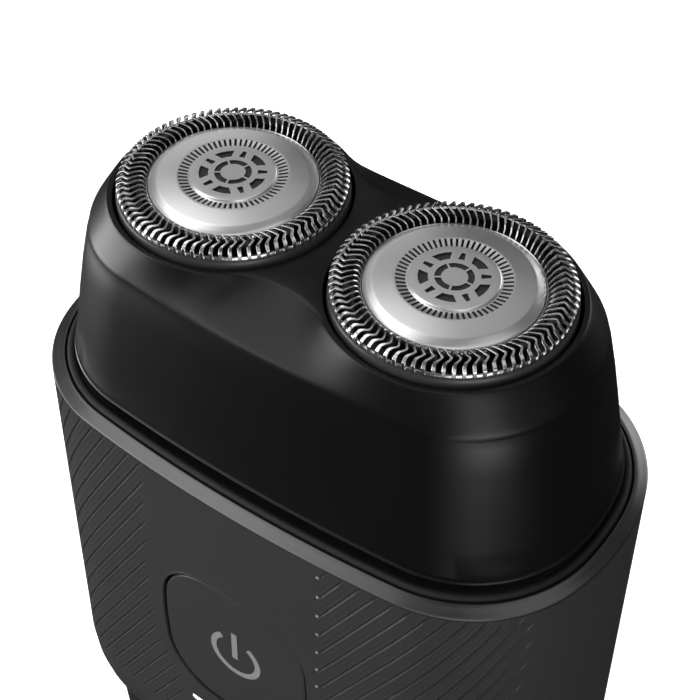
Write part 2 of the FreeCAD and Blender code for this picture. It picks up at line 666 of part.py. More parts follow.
def head_cap(x):
    """Slotted cap: an annular shaving track with radial hair slots and a seat for the disc."""
    top = TRACK_TOP_Z
    profile = [(8.55, 100.5), (8.85, top - 0.55), (9.3, top - 0.08), (9.9, top), (10.6, top - 0.05),
               (11.2, top - 0.28), (CAP_RADIUS, top - 0.75), (CAP_RADIUS, 100.55), (11.25, 100.55),
               (11.25, 98.7), (10.97, 98.7), (10.97, 100.9), (10.9, top - 0.72), (10.4, top - 0.42),
               (9.6, top - 0.42), (9.15, top - 0.75), (8.95, 100.2), (6.4, 100.2), (6.4, 100.5)]
    cap = revolved(profile)
    slot = box(9.05, CAP_RADIUS + 1, -SLOT_WIDTH / 2, SLOT_WIDTH / 2, 100.9, top + 1)
    slots = Part.makeCompound(ring_of(slot, SLOT_COUNT))
    return moved(cap.cut(slots), x)


def cap_disc(x):
    """Satin guide disc in the middle of a cap: sloped band, ring of short slots, raised hub."""
    disc = revolved([(0.0, 100.52), (8.3, 100.52), (8.5, 100.8), (8.5, 101.2), (8.3, 101.42),
                     (5.5, 101.96), (4.45, 101.72), (4.25, 102.12), (0.0, 102.15)])
    slot = box(4.62, 5.35, -0.11, 0.11, 101.5, 103)
    disc = disc.cut(Part.makeCompound(ring_of(slot, GUIDE_SLOT_COUNT)))
    window = polygon_prism([(2.5, -0.75), (3.3, -1.2), (3.3, 1.2), (2.5, 0.75)], 101.95, 103)
    vent = polygon_prism([(2.5, -0.45), (3.3, -0.22), (3.3, 0.22), (2.5, 0.45)], 101.95, 103)
    cuts = ring_of(window, 5) + ring_of(vent, 5, 36)
    return moved(disc.cut(Part.makeCompound(cuts)), x)


def head_cutter(x):
    """Steel cutter under a cap: a dished ring with upright blades."""
    dish = revolved([(2.2, 97.6), (9.0, 97.6), (10.4, 98.6), (10.4, 99.2), (9.2, 99.2), (8.6, 98.2),
                     (2.2, 98.2)])
    blade = box(9.6, 10.3, -0.35, 0.35, 98.9, TRACK_TOP_Z - 0.47)
    return moved(fuse([dish] + ring_of(blade, BLADE_COUNT, 4)), x)


def cutter_coupling(x):
    """Plastic socket in the cutter's middle that the spindle's tip drives."""
    cup = cylinder(3.4, 94.9, 97.58).fuse(cylinder(2.18, 97.5, 98.9))
    cup = cup.cut(box(-1.35, 1.35, -1.35, 1.35, 94, 98.2))
    return moved(cup, x)


# ---------------------------------------------------------------- write every node
def all_nodes():
    nodes = {
        "body_sleeve": body_sleeve(),
        "rim_trim": rim_trim(),
        "top_deck": top_deck(),
        "deck_seal": deck_seal(),
        "inner_chassis": inner_chassis(),
        "deck_screws": deck_screws(),
        "motor_can": motor_can(),
        "motor_end_cap": motor_end_cap(),
        "motor_shaft": motor_shaft(),
        "motor_armature": motor_armature(),
        "motor_pinion": motor_pinion(),
        "gear_axles": gear_axles(),
        "battery_cell": battery_cell(),
        "battery_tabs": battery_tabs(),
        "circuit_board": circuit_board(),
        "board_components": board_components(),
        "tact_switch": tact_switch(),
        "light_lenses": light_lenses(),
        "light_guide": light_guide(),
        "button_membrane": button_membrane(),
        "power_button": power_button(),
        "bottom_cap": bottom_cap(),
        "bottom_screws": bottom_screws(),
        "charging_socket": charging_socket(),
        "socket_tongue": socket_tongue(),
        "socket_board": socket_board(),
        "head_housing": head_housing(),
        "retaining_frame": retaining_frame(),
        "retainer_lock": retainer_lock(),
    }
    makers = {
        "shaft_seal": shaft_seal,
        "drive_gear": drive_gear,
        "drive_spindle": drive_spindle,
        "spindle_spring": spindle_spring,
        "seat_ring": seat_ring,
        "float_spring": float_spring,
        "head_carrier": head_carrier,
        "head_cap": head_cap,
        "cap_disc": cap_disc,
        "head_cutter": head_cutter,
        "cutter_coupling": cutter_coupling,
    }
    for side, x in (("left", -HEAD_X), ("right", HEAD_X)):
        for name, maker in makers.items():
            nodes[side + "_" + name] = maker(x)
    return nodes


def main():
    os.makedirs("parts", exist_ok=True)
    for name, shape in all_nodes().items():
        if not shape.isValid():
            raise ValueError(name + " is not a valid shape")
        shape.exportStep("parts/" + name + ".step")


main()
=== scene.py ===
"""A two-headed rotary electric shaver: the visible skins, the finishes and a small studio."""

import math

import bpy
from mathutils import Matrix, Vector


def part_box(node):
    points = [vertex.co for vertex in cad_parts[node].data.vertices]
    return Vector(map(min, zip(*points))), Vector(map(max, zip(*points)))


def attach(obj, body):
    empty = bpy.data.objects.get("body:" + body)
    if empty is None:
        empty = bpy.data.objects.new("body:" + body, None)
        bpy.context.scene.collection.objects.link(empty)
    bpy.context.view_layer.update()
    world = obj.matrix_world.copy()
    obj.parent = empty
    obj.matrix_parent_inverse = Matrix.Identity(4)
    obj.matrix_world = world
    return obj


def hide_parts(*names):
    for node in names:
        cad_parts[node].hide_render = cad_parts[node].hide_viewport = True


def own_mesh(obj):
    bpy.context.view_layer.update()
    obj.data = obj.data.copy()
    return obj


bl_info = {
    "name": "Rotary Shaver",
    "version": (1, 0, 0),
    "blender": (4, 5, 0),
    "location": "3D View > Sidebar > Shaver",
    "description": "Models the skins, heads, key and finishes of a two-headed rotary shaver",
    "category": "Add Mesh",
}

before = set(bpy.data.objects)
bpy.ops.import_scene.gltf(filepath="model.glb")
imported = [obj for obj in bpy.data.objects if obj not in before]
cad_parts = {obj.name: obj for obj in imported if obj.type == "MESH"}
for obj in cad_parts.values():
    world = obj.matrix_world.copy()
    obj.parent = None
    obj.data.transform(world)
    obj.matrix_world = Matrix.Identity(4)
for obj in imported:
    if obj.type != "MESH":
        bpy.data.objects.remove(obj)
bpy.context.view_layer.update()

MM = 0.001
SIDES = (("left", -1), ("right", 1))

# Heights in millimetres, with the origin at the middle of the underside.
RIM_TOP_Z = 78.1
RIM_LOW_Z = 77.2
SLEEVE_LOW_Z = 20.5
CREASE_Z = 96.27
PLATEAU_Z = 99.94
HOUSING_LOW_Z = 79.0
ROOF_Z = 94.67

# An oval outline is (half length, half width, side radius, end radius, corner radius).
CREASE = (28.06, 14.40, 197.0, 14.5, 11.7)
HOUSING_BOTTOM = (31.50, 16.70, 206.0, 23.6, 14.3)
RIM_INNER = (32.60, 18.20, 178.0, 33.0, 15.3)
RIM_OUTER = (33.95, 19.50, 174.0, 25.3, 15.8)
KEY_OUTLINE = (9.85, 10.70, 47.0, 46.0, 7.0)
KEY_X = -0.2
KEY_Z = 52.3
FLARE = 0.023
TUCK = ((30.0, 0.0), (27.0, 0.25), (24.5, 0.8), (22.3, 1.5), (20.5, 2.3))

TICK_X = 11.25
TICK_HALF = (0.16, 0.20)
TICK_PITCH = 3.18
TICK_COUNT = 15

WALL = 1.6
WELL_RADIUS = 12.10
PLATEAU_RADIUS = 12.64
SADDLE_WAIST = 8.35
LIGHT_Z = 38.0
LIGHT_PITCH = 5.1


# ---------------------------------------------------------------- outlines
def arc_points(centre, start, end, count):
    """Points on the short arc from start towards end, without the end."""
    first = math.atan2(start.y - centre.y, start.x - centre.x)
    last = math.atan2(end.y - centre.y, end.x - centre.x)
    sweep = (last - first + math.pi) % (2 * math.pi) - math.pi
    radius = (start - centre).length
    return [centre + Vector((math.cos(first + sweep * i / count),
                             math.sin(first + sweep * i / count))) * radius for i in range(count)]


def mirrored_round(quarter):
    """A closed loop from the quarter that runs from the front's middle to the right end."""
    half = quarter + [Vector((p.x, -p.y)) for p in reversed(quarter[:-1])]
    return half + [Vector((-p.x, p.y)) for p in reversed(half[1:-1])]


def oval(outline):
    """Dense closed loop of the oval, from the middle of the front towards the right end."""
    half_x, half_y, side_r, end_r, corner_r = outline
    side_c = Vector((0, side_r - half_y))
    end_c = Vector((half_x - end_r, 0))
    span = end_c - side_c
    reach_side, reach_end = side_r - corner_r, end_r - corner_r
    along = (reach_side ** 2 - reach_end ** 2 + span.length ** 2) / (2 * span.length)
    across = math.sqrt(reach_side ** 2 - along ** 2)
    unit = span.normalized()
    corner_c = side_c + unit * along + Vector((-unit.y, unit.x)) * across
    side_t = side_c + (corner_c - side_c).normalized() * side_r
    end_t = end_c + (corner_c - end_c).normalized() * end_r
    quarter = arc_points(side_c, Vector((0, -half_y)), side_t, 60)
    quarter += arc_points(corner_c, side_t, end_t, 60)
    quarter += arc_points(end_c, end_t, Vector((half_x, 0)), 60)
    return mirrored_round(quarter + [Vector((half_x, 0))])


def figure_eight():
    """Dense closed loop round both wells, from the middle of the front towards the right end."""
    head_x = head_centre()
    radius = PLATEAU_RADIUS
    fillet = (head_x ** 2 + SADDLE_WAIST ** 2 - radius ** 2) / (2 * (radius - SADDLE_WAIST))
    waist_c = Vector((0, -SADDLE_WAIST - fillet))
    head_c = Vector((head_x, 0))
    touch = head_c + (waist_c - head_c).normalized() * radius
    quarter = arc_points(waist_c, Vector((0, -SADDLE_WAIST)), touch, 60)
    bottom = head_c + Vector((0, -radius))
    quarter += arc_points(head_c, touch, bottom, 40)
    end = Vector((head_x + radius, 0))
    quarter += arc_points(head_c, bottom, end, 80)
    return mirrored_round(quarter + [end])


def spaced(loop, count, shift=0.0):
    """Evenly spaced points on a closed loop, moved along it by shift millimetres."""
    lengths = [0.0]
    for a, b in zip(loop, loop[1:] + loop[:1]):
        lengths.append(lengths[-1] + (b - a).length)
    total = lengths[-1]
    wanted = [((i / count * total + shift) % total, i) for i in range(count)]
    points = [None] * count
    k = 0
    for reach, i in sorted(wanted):
        while lengths[k + 1] < reach:
            k += 1
        share = (reach - lengths[k]) / max(lengths[k + 1] - lengths[k], 1e-9)
        points[i] = loop[k].lerp(loop[(k + 1) % len(loop)], share)
    return points


def inset(outline, amount):
    return tuple(value - amount for value in outline)


def sleeve_outline(z, amount=0.0):
    """The sleeve's outline at height z: it widens downwards, then tucks in at the bottom."""
    extra = FLARE * (RIM_LOW_Z - z)
    tuck = 0.0
    for (z_high, t_high), (z_low, t_low) in zip(TUCK, TUCK[1:]):
        if z <= z_high:
            share = min(1.0, (z_high - z) / (z_high - z_low))
            tuck = t_high + (t_low - t_high) * share
    half_x, half_y, side_r, end_r, corner_r = RIM_OUTER
    return inset((half_x + extra, half_y + extra, side_r, end_r, corner_r), tuck + amount)


def blend_outline(a, b, share):
    return tuple(low + (high - low) * share for low, high in zip(a, b))


def at_height(points, z):
    return [Vector((p.x, p.y, z)) * MM for p in points]


def oval_loop(outline, z, count, shift=0.0):
    return at_height(spaced(oval(outline), count, shift), z)


def circle_loop(radius, z, count, x=0.0):
    return [Vector((x + radius * math.cos(2 * math.pi * i / count),
                    radius * math.sin(2 * math.pi * i / count), z)) * MM for i in range(count)]


def head_centre():
    low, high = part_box("right_cap_disc")
    return (low[0] + high[0]) / 2 / MM


def face_y(x, z, depth=0.0):
    """The front face of the sleeve at x and z, moved inwards by depth millimetres."""
    half_y, side_r = sleeve_outline(z)[1:3]
    return -(half_y - depth - (side_r - math.sqrt(side_r ** 2 - x ** 2)))


# ---------------------------------------------------------------- modelling helpers
def object_mode():
    if bpy.context.object and bpy.context.object.mode != "OBJECT":
        bpy.ops.object.mode_set(mode="OBJECT")


def focus(*objs):
    """Selects only these objects, the last one active."""
    object_mode()
    bpy.ops.object.select_all(action="DESELECT")
    for obj in objs:
        obj.select_set(True)
        bpy.context.view_layer.objects.active = obj


def named(name):
    obj = bpy.context.object
    obj.name = name
    obj.data.name = name
    return obj


def choose(obj, kind, test):
    """Selects the mesh's own vertices, edges or faces that pass the test, in edit mode."""
    focus(obj)
    mesh = obj.data
    for items in (mesh.vertices, mesh.edges, mesh.polygons):
        items.foreach_set("select", [False] * len(items))
    items = {"VERT": mesh.vertices, "EDGE": mesh.edges, "FACE": mesh.polygons}[kind]
    for item in items:
        if test(item):
            item.select = True
    bpy.ops.object.mode_set(mode="EDIT")
    bpy.ops.mesh.select_mode(type=kind)


def ring_piece(name, loops, closed=False):
    """A skin through matching loops of points: a circle laid on the first and extruded on."""
    count = len(loops[0])
    focus()
    bpy.ops.mesh.primitive_circle_add(vertices=count, radius=0.03)
    obj = named(name)
    for vertex, point in zip(obj.data.vertices, loops[0]):
        vertex.co = point
    for loop in loops[1:] + ([loops[0]] if closed else []):
        start = len(obj.data.vertices) - count
        choose(obj, "VERT", lambda v: v.index >= start)
        bpy.ops.mesh.extrude_region_move()
        object_mode()
        for vertex, point in zip(obj.data.vertices[-count:], loop):
            vertex.co = point
    if closed:
        tidy_mesh(obj)
    return obj


def tidy_mesh(obj, distance=1e-7, outward=True):
    """Merges doubles and makes the faces point outwards."""
    choose(obj, "VERT", lambda v: True)
    bpy.ops.mesh.select_all(action="SELECT")
    bpy.ops.mesh.remove_doubles(threshold=distance)
    if outward:
        bpy.ops.mesh.normals_make_consistent(inside=False)
    object_mode()


def fill_loops(obj, test):
    """Fills a flat face between all the open edges whose vertices pass the test."""
    uses = {}
    for face in obj.data.polygons:
        for key in face.edge_keys:
            uses[key] = uses.get(key, 0) + 1
    place = {v.index: v.co.copy() for v in obj.data.vertices}

    def open_edge(edge):
        a, b = edge.vertices
        return uses.get(tuple(sorted((a, b))), 0) < 2 and test(place[a]) and test(place[b])

    choose(obj, "EDGE", open_edge)
    bpy.ops.mesh.fill(use_beauty=True)
    object_mode()


def joined(name, objs):
    focus(*objs)
    bpy.ops.object.join()
    return named(name)


def smooth(obj, degrees=32):
    focus(obj)
    bpy.ops.object.shade_smooth_by_angle(angle=math.radians(degrees))
    return obj


def copied(obj, matrix):
    """A copy with its own mesh, moved by the matrix."""
    copy = obj.copy()
    copy.data = obj.data.copy()
    copy.data.transform(matrix)
    bpy.context.scene.collection.objects.link(copy)
    return copy


def turn_about(x, degrees):
    centre = Matrix.Translation(Vector((x * MM, 0, 0)))
    return centre @ Matrix.Rotation(math.radians(degrees), 4, "Z")


def spun(name, profile, steps, x=0.0):
    """A skin of revolution about an upright axis at x from (radius, height) points."""
    loops = [circle_loop(max(radius, 0.02), z, steps, x) for radius, z in profile]
    return ring_piece(name, loops)


def cut_away(obj, cutter, keep_material=False):
    """Cuts the cutter's volume out and deletes the cutter, whose material the cut faces may keep."""
    focus(obj)
    modifier = obj.modifiers.new("cut", "BOOLEAN")
    modifier.operation = "DIFFERENCE"
    modifier.solver = "EXACT"
    if keep_material:
        modifier.material_mode = "TRANSFER"
    modifier.object = cutter
    bpy.ops.object.modifier_apply(modifier=modifier.name)
    bpy.data.objects.remove(cutter)
    if not obj.data.polygons:
        raise RuntimeError(obj.name + " was lost in a cut")


def paint(obj, *materials):
    obj.data.materials.clear()
    for material in materials:
        obj.data.materials.append(material)


def dress(obj, body, slot, material, *nodes):
    """Gives a finished piece its body and its material, and hides the nodes it stands for. The record
    slot is not used.
    """
    if not obj.data.materials:
        paint(obj, material)
    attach(obj, body)
    if nodes:
        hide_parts(*nodes)


# ---------------------------------------------------------------- shader helpers
class Wire:
    """A node's output that can be used in ordinary arithmetic."""

    def __init__(self, shader, socket):
        self.shader = shader
        self.socket = socket

    def maths(self, operation, a, b):
        return self.shader.node("ShaderNodeMath", {"operation": operation}, {0: a, 1: b}).out()

    def __add__(self, other):
        return self.maths("ADD", self, other)

    __radd__ = __add__

    def __mul__(self, other):
        return self.maths("MULTIPLY", self, other)

    __rmul__ = __mul__

    def __pow__(self, other):
        return self.maths("POWER", self, other)


class Step:
    """A node with its outputs as wires."""

    def __init__(self, shader, node):
        self.shader = shader
        self.node = node

    def out(self, key=0):
        return Wire(self.shader, self.node.outputs[key])


class Finish:
    """A material with a Principled surface on the piece's own coordinates."""

    def __init__(self, name, colour, roughness, metallic=0.0, specular=0.5, **fixed):
        self.material = bpy.data.materials.new(name)
        self.material.use_nodes = True
        self.tree = self.material.node_tree
        self.tree.nodes.clear()
        self.surface = self.node("ShaderNodeBsdfPrincipled", {}, {
            "Base Color": (*colour, 1.0), "Roughness": roughness, "Metallic": metallic,
            "Specular IOR Level": specular, **fixed})
        self.output = self.node("ShaderNodeOutputMaterial", {}, {"Surface": self.surface.out()})
        self.place = self.node("ShaderNodeTexCoord", {}, {}).out("Object")

    def node(self, kind, settings, inputs):
        made = self.tree.nodes.new(kind)
        for key, value in settings.items():
            if key == "stops":
                ramp = made.color_ramp
                for element, (position, shade) in zip(ramp.elements, value):
                    element.position = position
                    element.color = (shade, shade, shade, 1.0)
            else:
                setattr(made, key, value)
        for key, value in inputs.items():
            if isinstance(value, Wire):
                self.tree.links.new(value.socket, made.inputs[key])
            else:
                made.inputs[key].default_value = value
        return Step(self, made)

    def scaled(self, x, y, z, turn=(0.0, 0.0, 0.0)):
        return self.node("ShaderNodeMapping", {}, {
            "Vector": self.place, "Scale": (x, y, z), "Rotation": turn}).out()

    def noise(self, scale, detail=3.0, place=None):
        return self.node("ShaderNodeTexNoise", {}, {
            "Vector": place or self.place, "Scale": scale, "Detail": detail}).out("Fac")

    def grains(self, scale):
        return self.node("ShaderNodeTexVoronoi", {"feature": "F1"}, {
            "Vector": self.place, "Scale": scale}).out("Distance")

    def ramp(self, value, low, high, low_shade=0.0, high_shade=1.0):
        stops = ((low, low_shade), (high, high_shade))
        return self.node("ShaderNodeValToRGB", {"stops": stops}, {"Fac": value}).out("Color")

    def tint(self, mask, a, b):
        """The base colour goes from a to b with the mask."""
        mix = self.node("ShaderNodeMix", {"data_type": "RGBA"}, {
            0: mask, 6: (*a, 1.0), 7: (*b, 1.0)})
        self.feed("Base Color", mix.out(2))

    def feed(self, socket, wire):
        self.tree.links.new(wire.socket, self.surface.node.inputs[socket])

    def show(self, shader):
        """Sends another shader to the output in place of the surface."""
        self.tree.links.new(shader.socket, self.output.node.inputs["Surface"])

    def rough(self, mask, low, high):
        self.feed("Roughness", mask * (high - low) + low)

    def bump(self, height, distance):
        bump = self.node("ShaderNodeBump", {}, {
            "Height": height, "Distance": distance, "Strength": 1.0})
        self.feed("Normal", bump.out())


def shade(value, tint=1.0):
    """A near-neutral colour with a slight cool tint above 1 and a warm one below."""
    return (value / tint, value, value * tint)


def moulded(name, value, roughness, tint=1.0, grain=0.004, specular=0.5, spread=0.12):
    """Moulded plastic with a fine spark-eroded grain and slight handling marks."""
    finish = Finish(name, shade(value, tint), roughness, specular=specular)
    cloud = finish.noise(60.0, 4.0)
    finish.tint(cloud, shade(value * (1 - spread), tint), shade(value * (1 + spread), tint))
    finish.rough(finish.noise(240.0, 5.0), roughness - 0.05, roughness + 0.05)
    finish.bump(finish.noise(6500.0, 2.0), grain * MM)
    return finish.material


def glossy_black(name, value, roughness):
    """Polished black moulding with very faint swirl marks and dust specks."""
    finish = Finish(name, shade(value, 1.02), roughness, specular=0.34)
    finish.tint(finish.noise(45.0, 3.0), shade(value * 0.8), shade(value * 1.25))
    swirl = finish.noise(90.0, 6.0)
    specks = finish.ramp(finish.grains(900.0), 0.02, 0.06, 1.0, 0.0)
    finish.feed("Roughness", swirl * 0.08 + specks * 0.2 + (roughness - 0.04))
    finish.bump(finish.noise(1400.0, 2.0), 0.0012 * MM)
    return finish.material


def brushed(name, value, roughness, tint=1.0, scale=(900.0, 60.0, 900.0), depth=0.002):
    """Satin metal with fine drawn lines."""
    finish = Finish(name, shade(value, tint), roughness, metallic=1.0)
    lines = finish.noise(1.0, 5.0, finish.scaled(*scale))
    finish.tint(lines, shade(value * 0.9, tint), shade(value * 1.06, tint))
    finish.rough(finish.noise(300.0, 4.0), roughness - 0.05, roughness + 0.06)
    finish.bump(lines, depth * MM)
    return finish.material


def turned_metal(name, value, roughness, x):
    """Satin disc metal: fine turned rings round the head's axis."""
    finish = Finish(name, shade(value), roughness, metallic=1.0)
    centred = finish.node("ShaderNodeMapping", {}, {
        "Vector": finish.place, "Location": (-x * MM, 0.0, 0.0)}).out()
    parts = finish.node("ShaderNodeSeparateXYZ", {}, {"Vector": centred})
    radius = (parts.out("X") ** 2.0 + parts.out("Y") ** 2.0) ** 0.5
    spot = finish.node("ShaderNodeCombineXYZ", {}, {"X": radius * 9000.0}).out()
    rings = finish.noise(1.0, 4.0, spot)
    finish.tint(rings, shade(value * 0.93), shade(value * 1.04))
    finish.rough(finish.noise(500.0, 4.0), roughness - 0.03, roughness + 0.05)
    finish.bump(rings, 0.0006 * MM)
    return finish.material


def rubber(name, value):
    finish = Finish(name, shade(value), 0.55, specular=0.4)
    finish.tint(finish.noise(120.0, 4.0), shade(value * 0.8), shade(value * 1.2))
    finish.bump(finish.noise(5000.0, 3.0), 0.004 * MM)
    return finish.material


def glowing(name, value, power):
    """Milky light window, lit from behind, with a faint cloudy veil."""
    finish = Finish(name, shade(value), 0.25, **{"Emission Strength": power})
    veil = finish.noise(700.0, 2.0)
    finish.tint(veil, shade(value * 0.94), shade(value))
    mix = finish.node("ShaderNodeMix", {"data_type": "RGBA"}, {
        0: veil, 6: (0.93, 0.96, 1.0, 1.0), 7: (1.0, 1.0, 1.0, 1.0)})
    finish.feed("Emission Color", mix.out(2))
    return finish.material


def board_green(name):
    """Solder-masked board with faint track lines."""
    finish = Finish(name, (0.01, 0.09, 0.04), 0.35)
    tracks = finish.node("ShaderNodeTexBrick", {"offset": 0.35}, {
        "Vector": finish.scaled(500.0, 500.0, 500.0, (math.pi / 2, 0.0, 0.0)), "Scale": 1.0,
        "Mortar Size": 0.06}).out("Fac")
    finish.tint(tracks, (0.008, 0.075, 0.03), (0.02, 0.16, 0.07))
    finish.bump(tracks, 0.01 * MM)
    return finish.material


MATERIALS = {}


def material(name):
    return MATERIALS[name]


# ---------------------------------------------------------------- properties
class ShaverSizes(bpy.types.PropertyGroup):
    """Sizes of the visible details, in metres."""
    bar_count: bpy.props.IntProperty(
        name="Bars", description="Zigzag bars in one slotted cap", default=80, min=20)
    slot_count: bpy.props.IntProperty(
        name="Disc slots", description="Short slots in one guide disc", default=60, min=12)
    groove_depth: bpy.props.FloatProperty(
        name="Groove depth", description="Depth of the main grip lines",
        default=0.16 * MM, unit="LENGTH", precision=6)
    fine_depth: bpy.props.FloatProperty(
        name="Fine line depth", description="Depth of the two finer lines between main ones",
        default=0.05 * MM, unit="LENGTH", precision=6)
    line_rise: bpy.props.FloatProperty(
        name="Line spacing", description="Height between two main grip lines",
        default=3.18 * MM, unit="LENGTH", precision=6)


class ShaverColours(bpy.types.PropertyGroup):
    """Brightness of the main finishes."""
    sleeve: bpy.props.FloatProperty(
        name="Sleeve", description="Brightness of the satin sleeve", default=0.048,
        min=0.0, max=1.0, subtype="FACTOR")
    rim: bpy.props.FloatProperty(
        name="Rim", description="Brightness of the satin rim", default=0.14,
        min=0.0, max=1.0, subtype="FACTOR")
    housing: bpy.props.FloatProperty(
        name="Housing", description="Brightness of the black housing", default=0.004,
        min=0.0, max=1.0, subtype="FACTOR")
    disc: bpy.props.FloatProperty(
        name="Disc", description="Brightness of the guide discs", default=0.97,
        min=0.0, max=1.0, subtype="FACTOR")


def sizes():
    return bpy.context.scene.shaver_sizes


def colours():
    return bpy.context.scene.shaver_colours


# ---------------------------------------------------------------- finishes
def make_materials():
    tone = colours()
    made = {
        "sleeve": moulded("satin_charcoal", tone.sleeve, 0.34, 1.01, specular=0.5),
        "key": moulded("key_charcoal", tone.sleeve, 0.32, 1.01, specular=0.5),
        "rim": brushed("satin_rim", tone.rim, 0.34, 1.01, (300.0, 300.0, 300.0), 0.0008),
        "housing": glossy_black("satin_black", tone.housing, 0.36),
        "rubber": rubber("seal_rubber", 0.012),
        "carrier": moulded("carrier_grey", 0.022, 0.35),
        "skirt": moulded("skirt_grey", 0.05, 0.38),
        "bars": brushed("bar_steel", 0.72, 0.25, 1.0, (700.0, 700.0, 700.0), 0.0003),
        "disc_left": turned_metal("left_disc_satin", tone.disc, 0.36, -head_centre()),
        "disc_right": turned_metal("right_disc_satin", tone.disc, 0.36, head_centre()),
        # Dark grey for the cut walls and floors of the discs' shallow slots and windows: painted
        # shade where the real disc has openings.
        "opening_shade": moulded("painted_opening_shade", 0.05, 0.5),
        # Light grey for the printed power sign, and on the grip ticks a painted highlight.
        "print_and_highlight": moulded("symbol_print_and_tick_highlight", 0.30, 0.5, spread=0.05),
        "light": glowing("light_window", 0.9, 1.6),
        "inner": moulded("inner_moulding", 0.03, 0.5),
        "dark": moulded("dark_moulding", 0.016, 0.45),
        "gear": moulded("gear_resin", 0.75, 0.35, 0.98, spread=0.04),
        "steel": brushed("plain_steel", 0.55, 0.30),
        "cutter": brushed("cutter_steel", 0.07, 0.45, 1.0, (700.0, 700.0, 700.0)),
        "motor": brushed("motor_can_plate", 0.60, 0.36, 0.98),
        "wrap": moulded("cell_wrap", 0.12, 0.3, 1.5),
        "nickel": brushed("nickel_strip", 0.66, 0.28, 0.96),
        "board": board_green("board_green"),
        "chip": moulded("chip_black", 0.02, 0.4),
        "clear": moulded("light_bar_clear", 0.6, 0.12, spread=0.05),
        "brass": brushed("pinion_brass", 0.5, 0.3, 0.72),
        "socket": brushed("socket_shell", 0.58, 0.3),
    }
    MATERIALS.update(made)


CAD_FINISH = {
    "top_deck": "inner", "inner_chassis": "inner", "deck_screws": "steel", "motor_can": "motor",
    "motor_end_cap": "dark", "gear_axles": "steel", "battery_cell": "wrap",
    "battery_tabs": "nickel", "circuit_board": "board", "board_components": "chip",
    "tact_switch": "chip", "light_guide": "clear", "button_membrane": "rubber",
    "bottom_cap": "dark", "bottom_screws": "steel", "charging_socket": "socket",
    "socket_tongue": "chip", "socket_board": "board", "motor_shaft": "steel",
    "motor_armature": "motor", "motor_pinion": "brass", "retaining_frame": "inner",
    "retainer_lock": "rim", "shaft_seal": "rubber", "drive_gear": "gear",
    "drive_spindle": "gear", "spindle_spring": "steel", "seat_ring": "inner",
    "float_spring": "steel", "head_carrier": "carrier", "head_cutter": "cutter",
    "cutter_coupling": "gear",
}


def finish_cad_nodes():
    for name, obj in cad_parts.items():
        key = name.split("_", 1)[1] if name.startswith(("left_", "right_")) else name
        if key in CAD_FINISH:
            finish = material(CAD_FINISH[key])
            if obj.data.materials:
                for i in range(len(obj.data.materials)):
                    obj.data.materials[i] = finish
            else:
                obj.data.materials.append(finish)


# ---------------------------------------------------------------- housing of the shaving unit
# Loops up the housing's lower edge: (inset, rise over its lowest point).
HOUSING_FOOT = ((1.6, 0.0), (0.25, 0.0), (0.06, 0.06), (0.0, 0.22), (0.10, 0.36), (0.30, 0.42),
                (0.30, 0.55))
# The shoulder from the crease to the plateau: (share of the way in, share of the height).
HOUSING_CROWN = ((0.0, -0.14), (0.008, -0.06), (0.03, 0.02), (0.07, 0.08), (0.12, 0.14),
                 (0.20, 0.225), (0.35, 0.38), (0.5, 0.53), (0.7, 0.73), (0.86, 0.885),
                 (0.94, 0.96), (0.98, 0.99), (1.0, 1.0))


def make_housing():
    count, round_count = 200, 96
    head_x = head_centre()
    loops = [oval_loop(inset(HOUSING_BOTTOM, amount), HOUSING_LOW_Z + rise, count)
             for amount, rise in HOUSING_FOOT]
    wall_span = CREASE_Z - HOUSING_LOW_Z
    for share in (0.045, 0.25, 0.5, 0.75, 0.93):
        outline = blend_outline(inset(HOUSING_BOTTOM, 0.10), CREASE, share)
        loops.append(oval_loop(outline, HOUSING_LOW_Z + wall_span * share, count))
    crease = spaced(oval(CREASE), count)
    top = spaced(figure_eight(), count)

    def shoulder(share, z_share):
        points = [a.lerp(b, share) for a, b in zip(crease, top)]
        return at_height(points, CREASE_Z + (PLATEAU_Z - CREASE_Z) * z_share)

    for share, z_share in HOUSING_CROWN:
        loops.append(shoulder(share, z_share))
    shell = ring_piece("head_housing_skin", loops)
    inner = ring_piece("housing_lining", [
        oval_loop(inset(HOUSING_BOTTOM, WALL), HOUSING_LOW_Z, count),
        oval_loop(inset(blend_outline(HOUSING_BOTTOM, CREASE, 0.5), WALL),
                  (HOUSING_LOW_Z + CREASE_Z) / 2, count),
        oval_loop(inset(CREASE, 1.5), ROOF_Z, count)])
    parts = [inner]
    for side in (-1, 1):
        x = side * head_x
        well = ((WELL_RADIUS + 0.16, PLATEAU_Z), (WELL_RADIUS + 0.05, PLATEAU_Z - 0.03),
                (WELL_RADIUS, PLATEAU_Z - 0.12), (WELL_RADIUS, 97.2), (WELL_RADIUS, ROOF_Z))
        parts.append(spun("well", well, round_count, x))
    shell = joined("head_housing_skin", parts + [shell])
    tidy_mesh(shell, 2e-6, outward=False)
    fill_loops(shell, lambda co: abs(co.z - PLATEAU_Z * MM) < 1e-6)
    fill_loops(shell, lambda co: abs(co.z - ROOF_Z * MM) < 1e-6)
    tidy_mesh(shell)
    smooth(shell, 28)
    dress(shell, "shaving_unit", "housing_plastic", material("housing"), "head_housing")


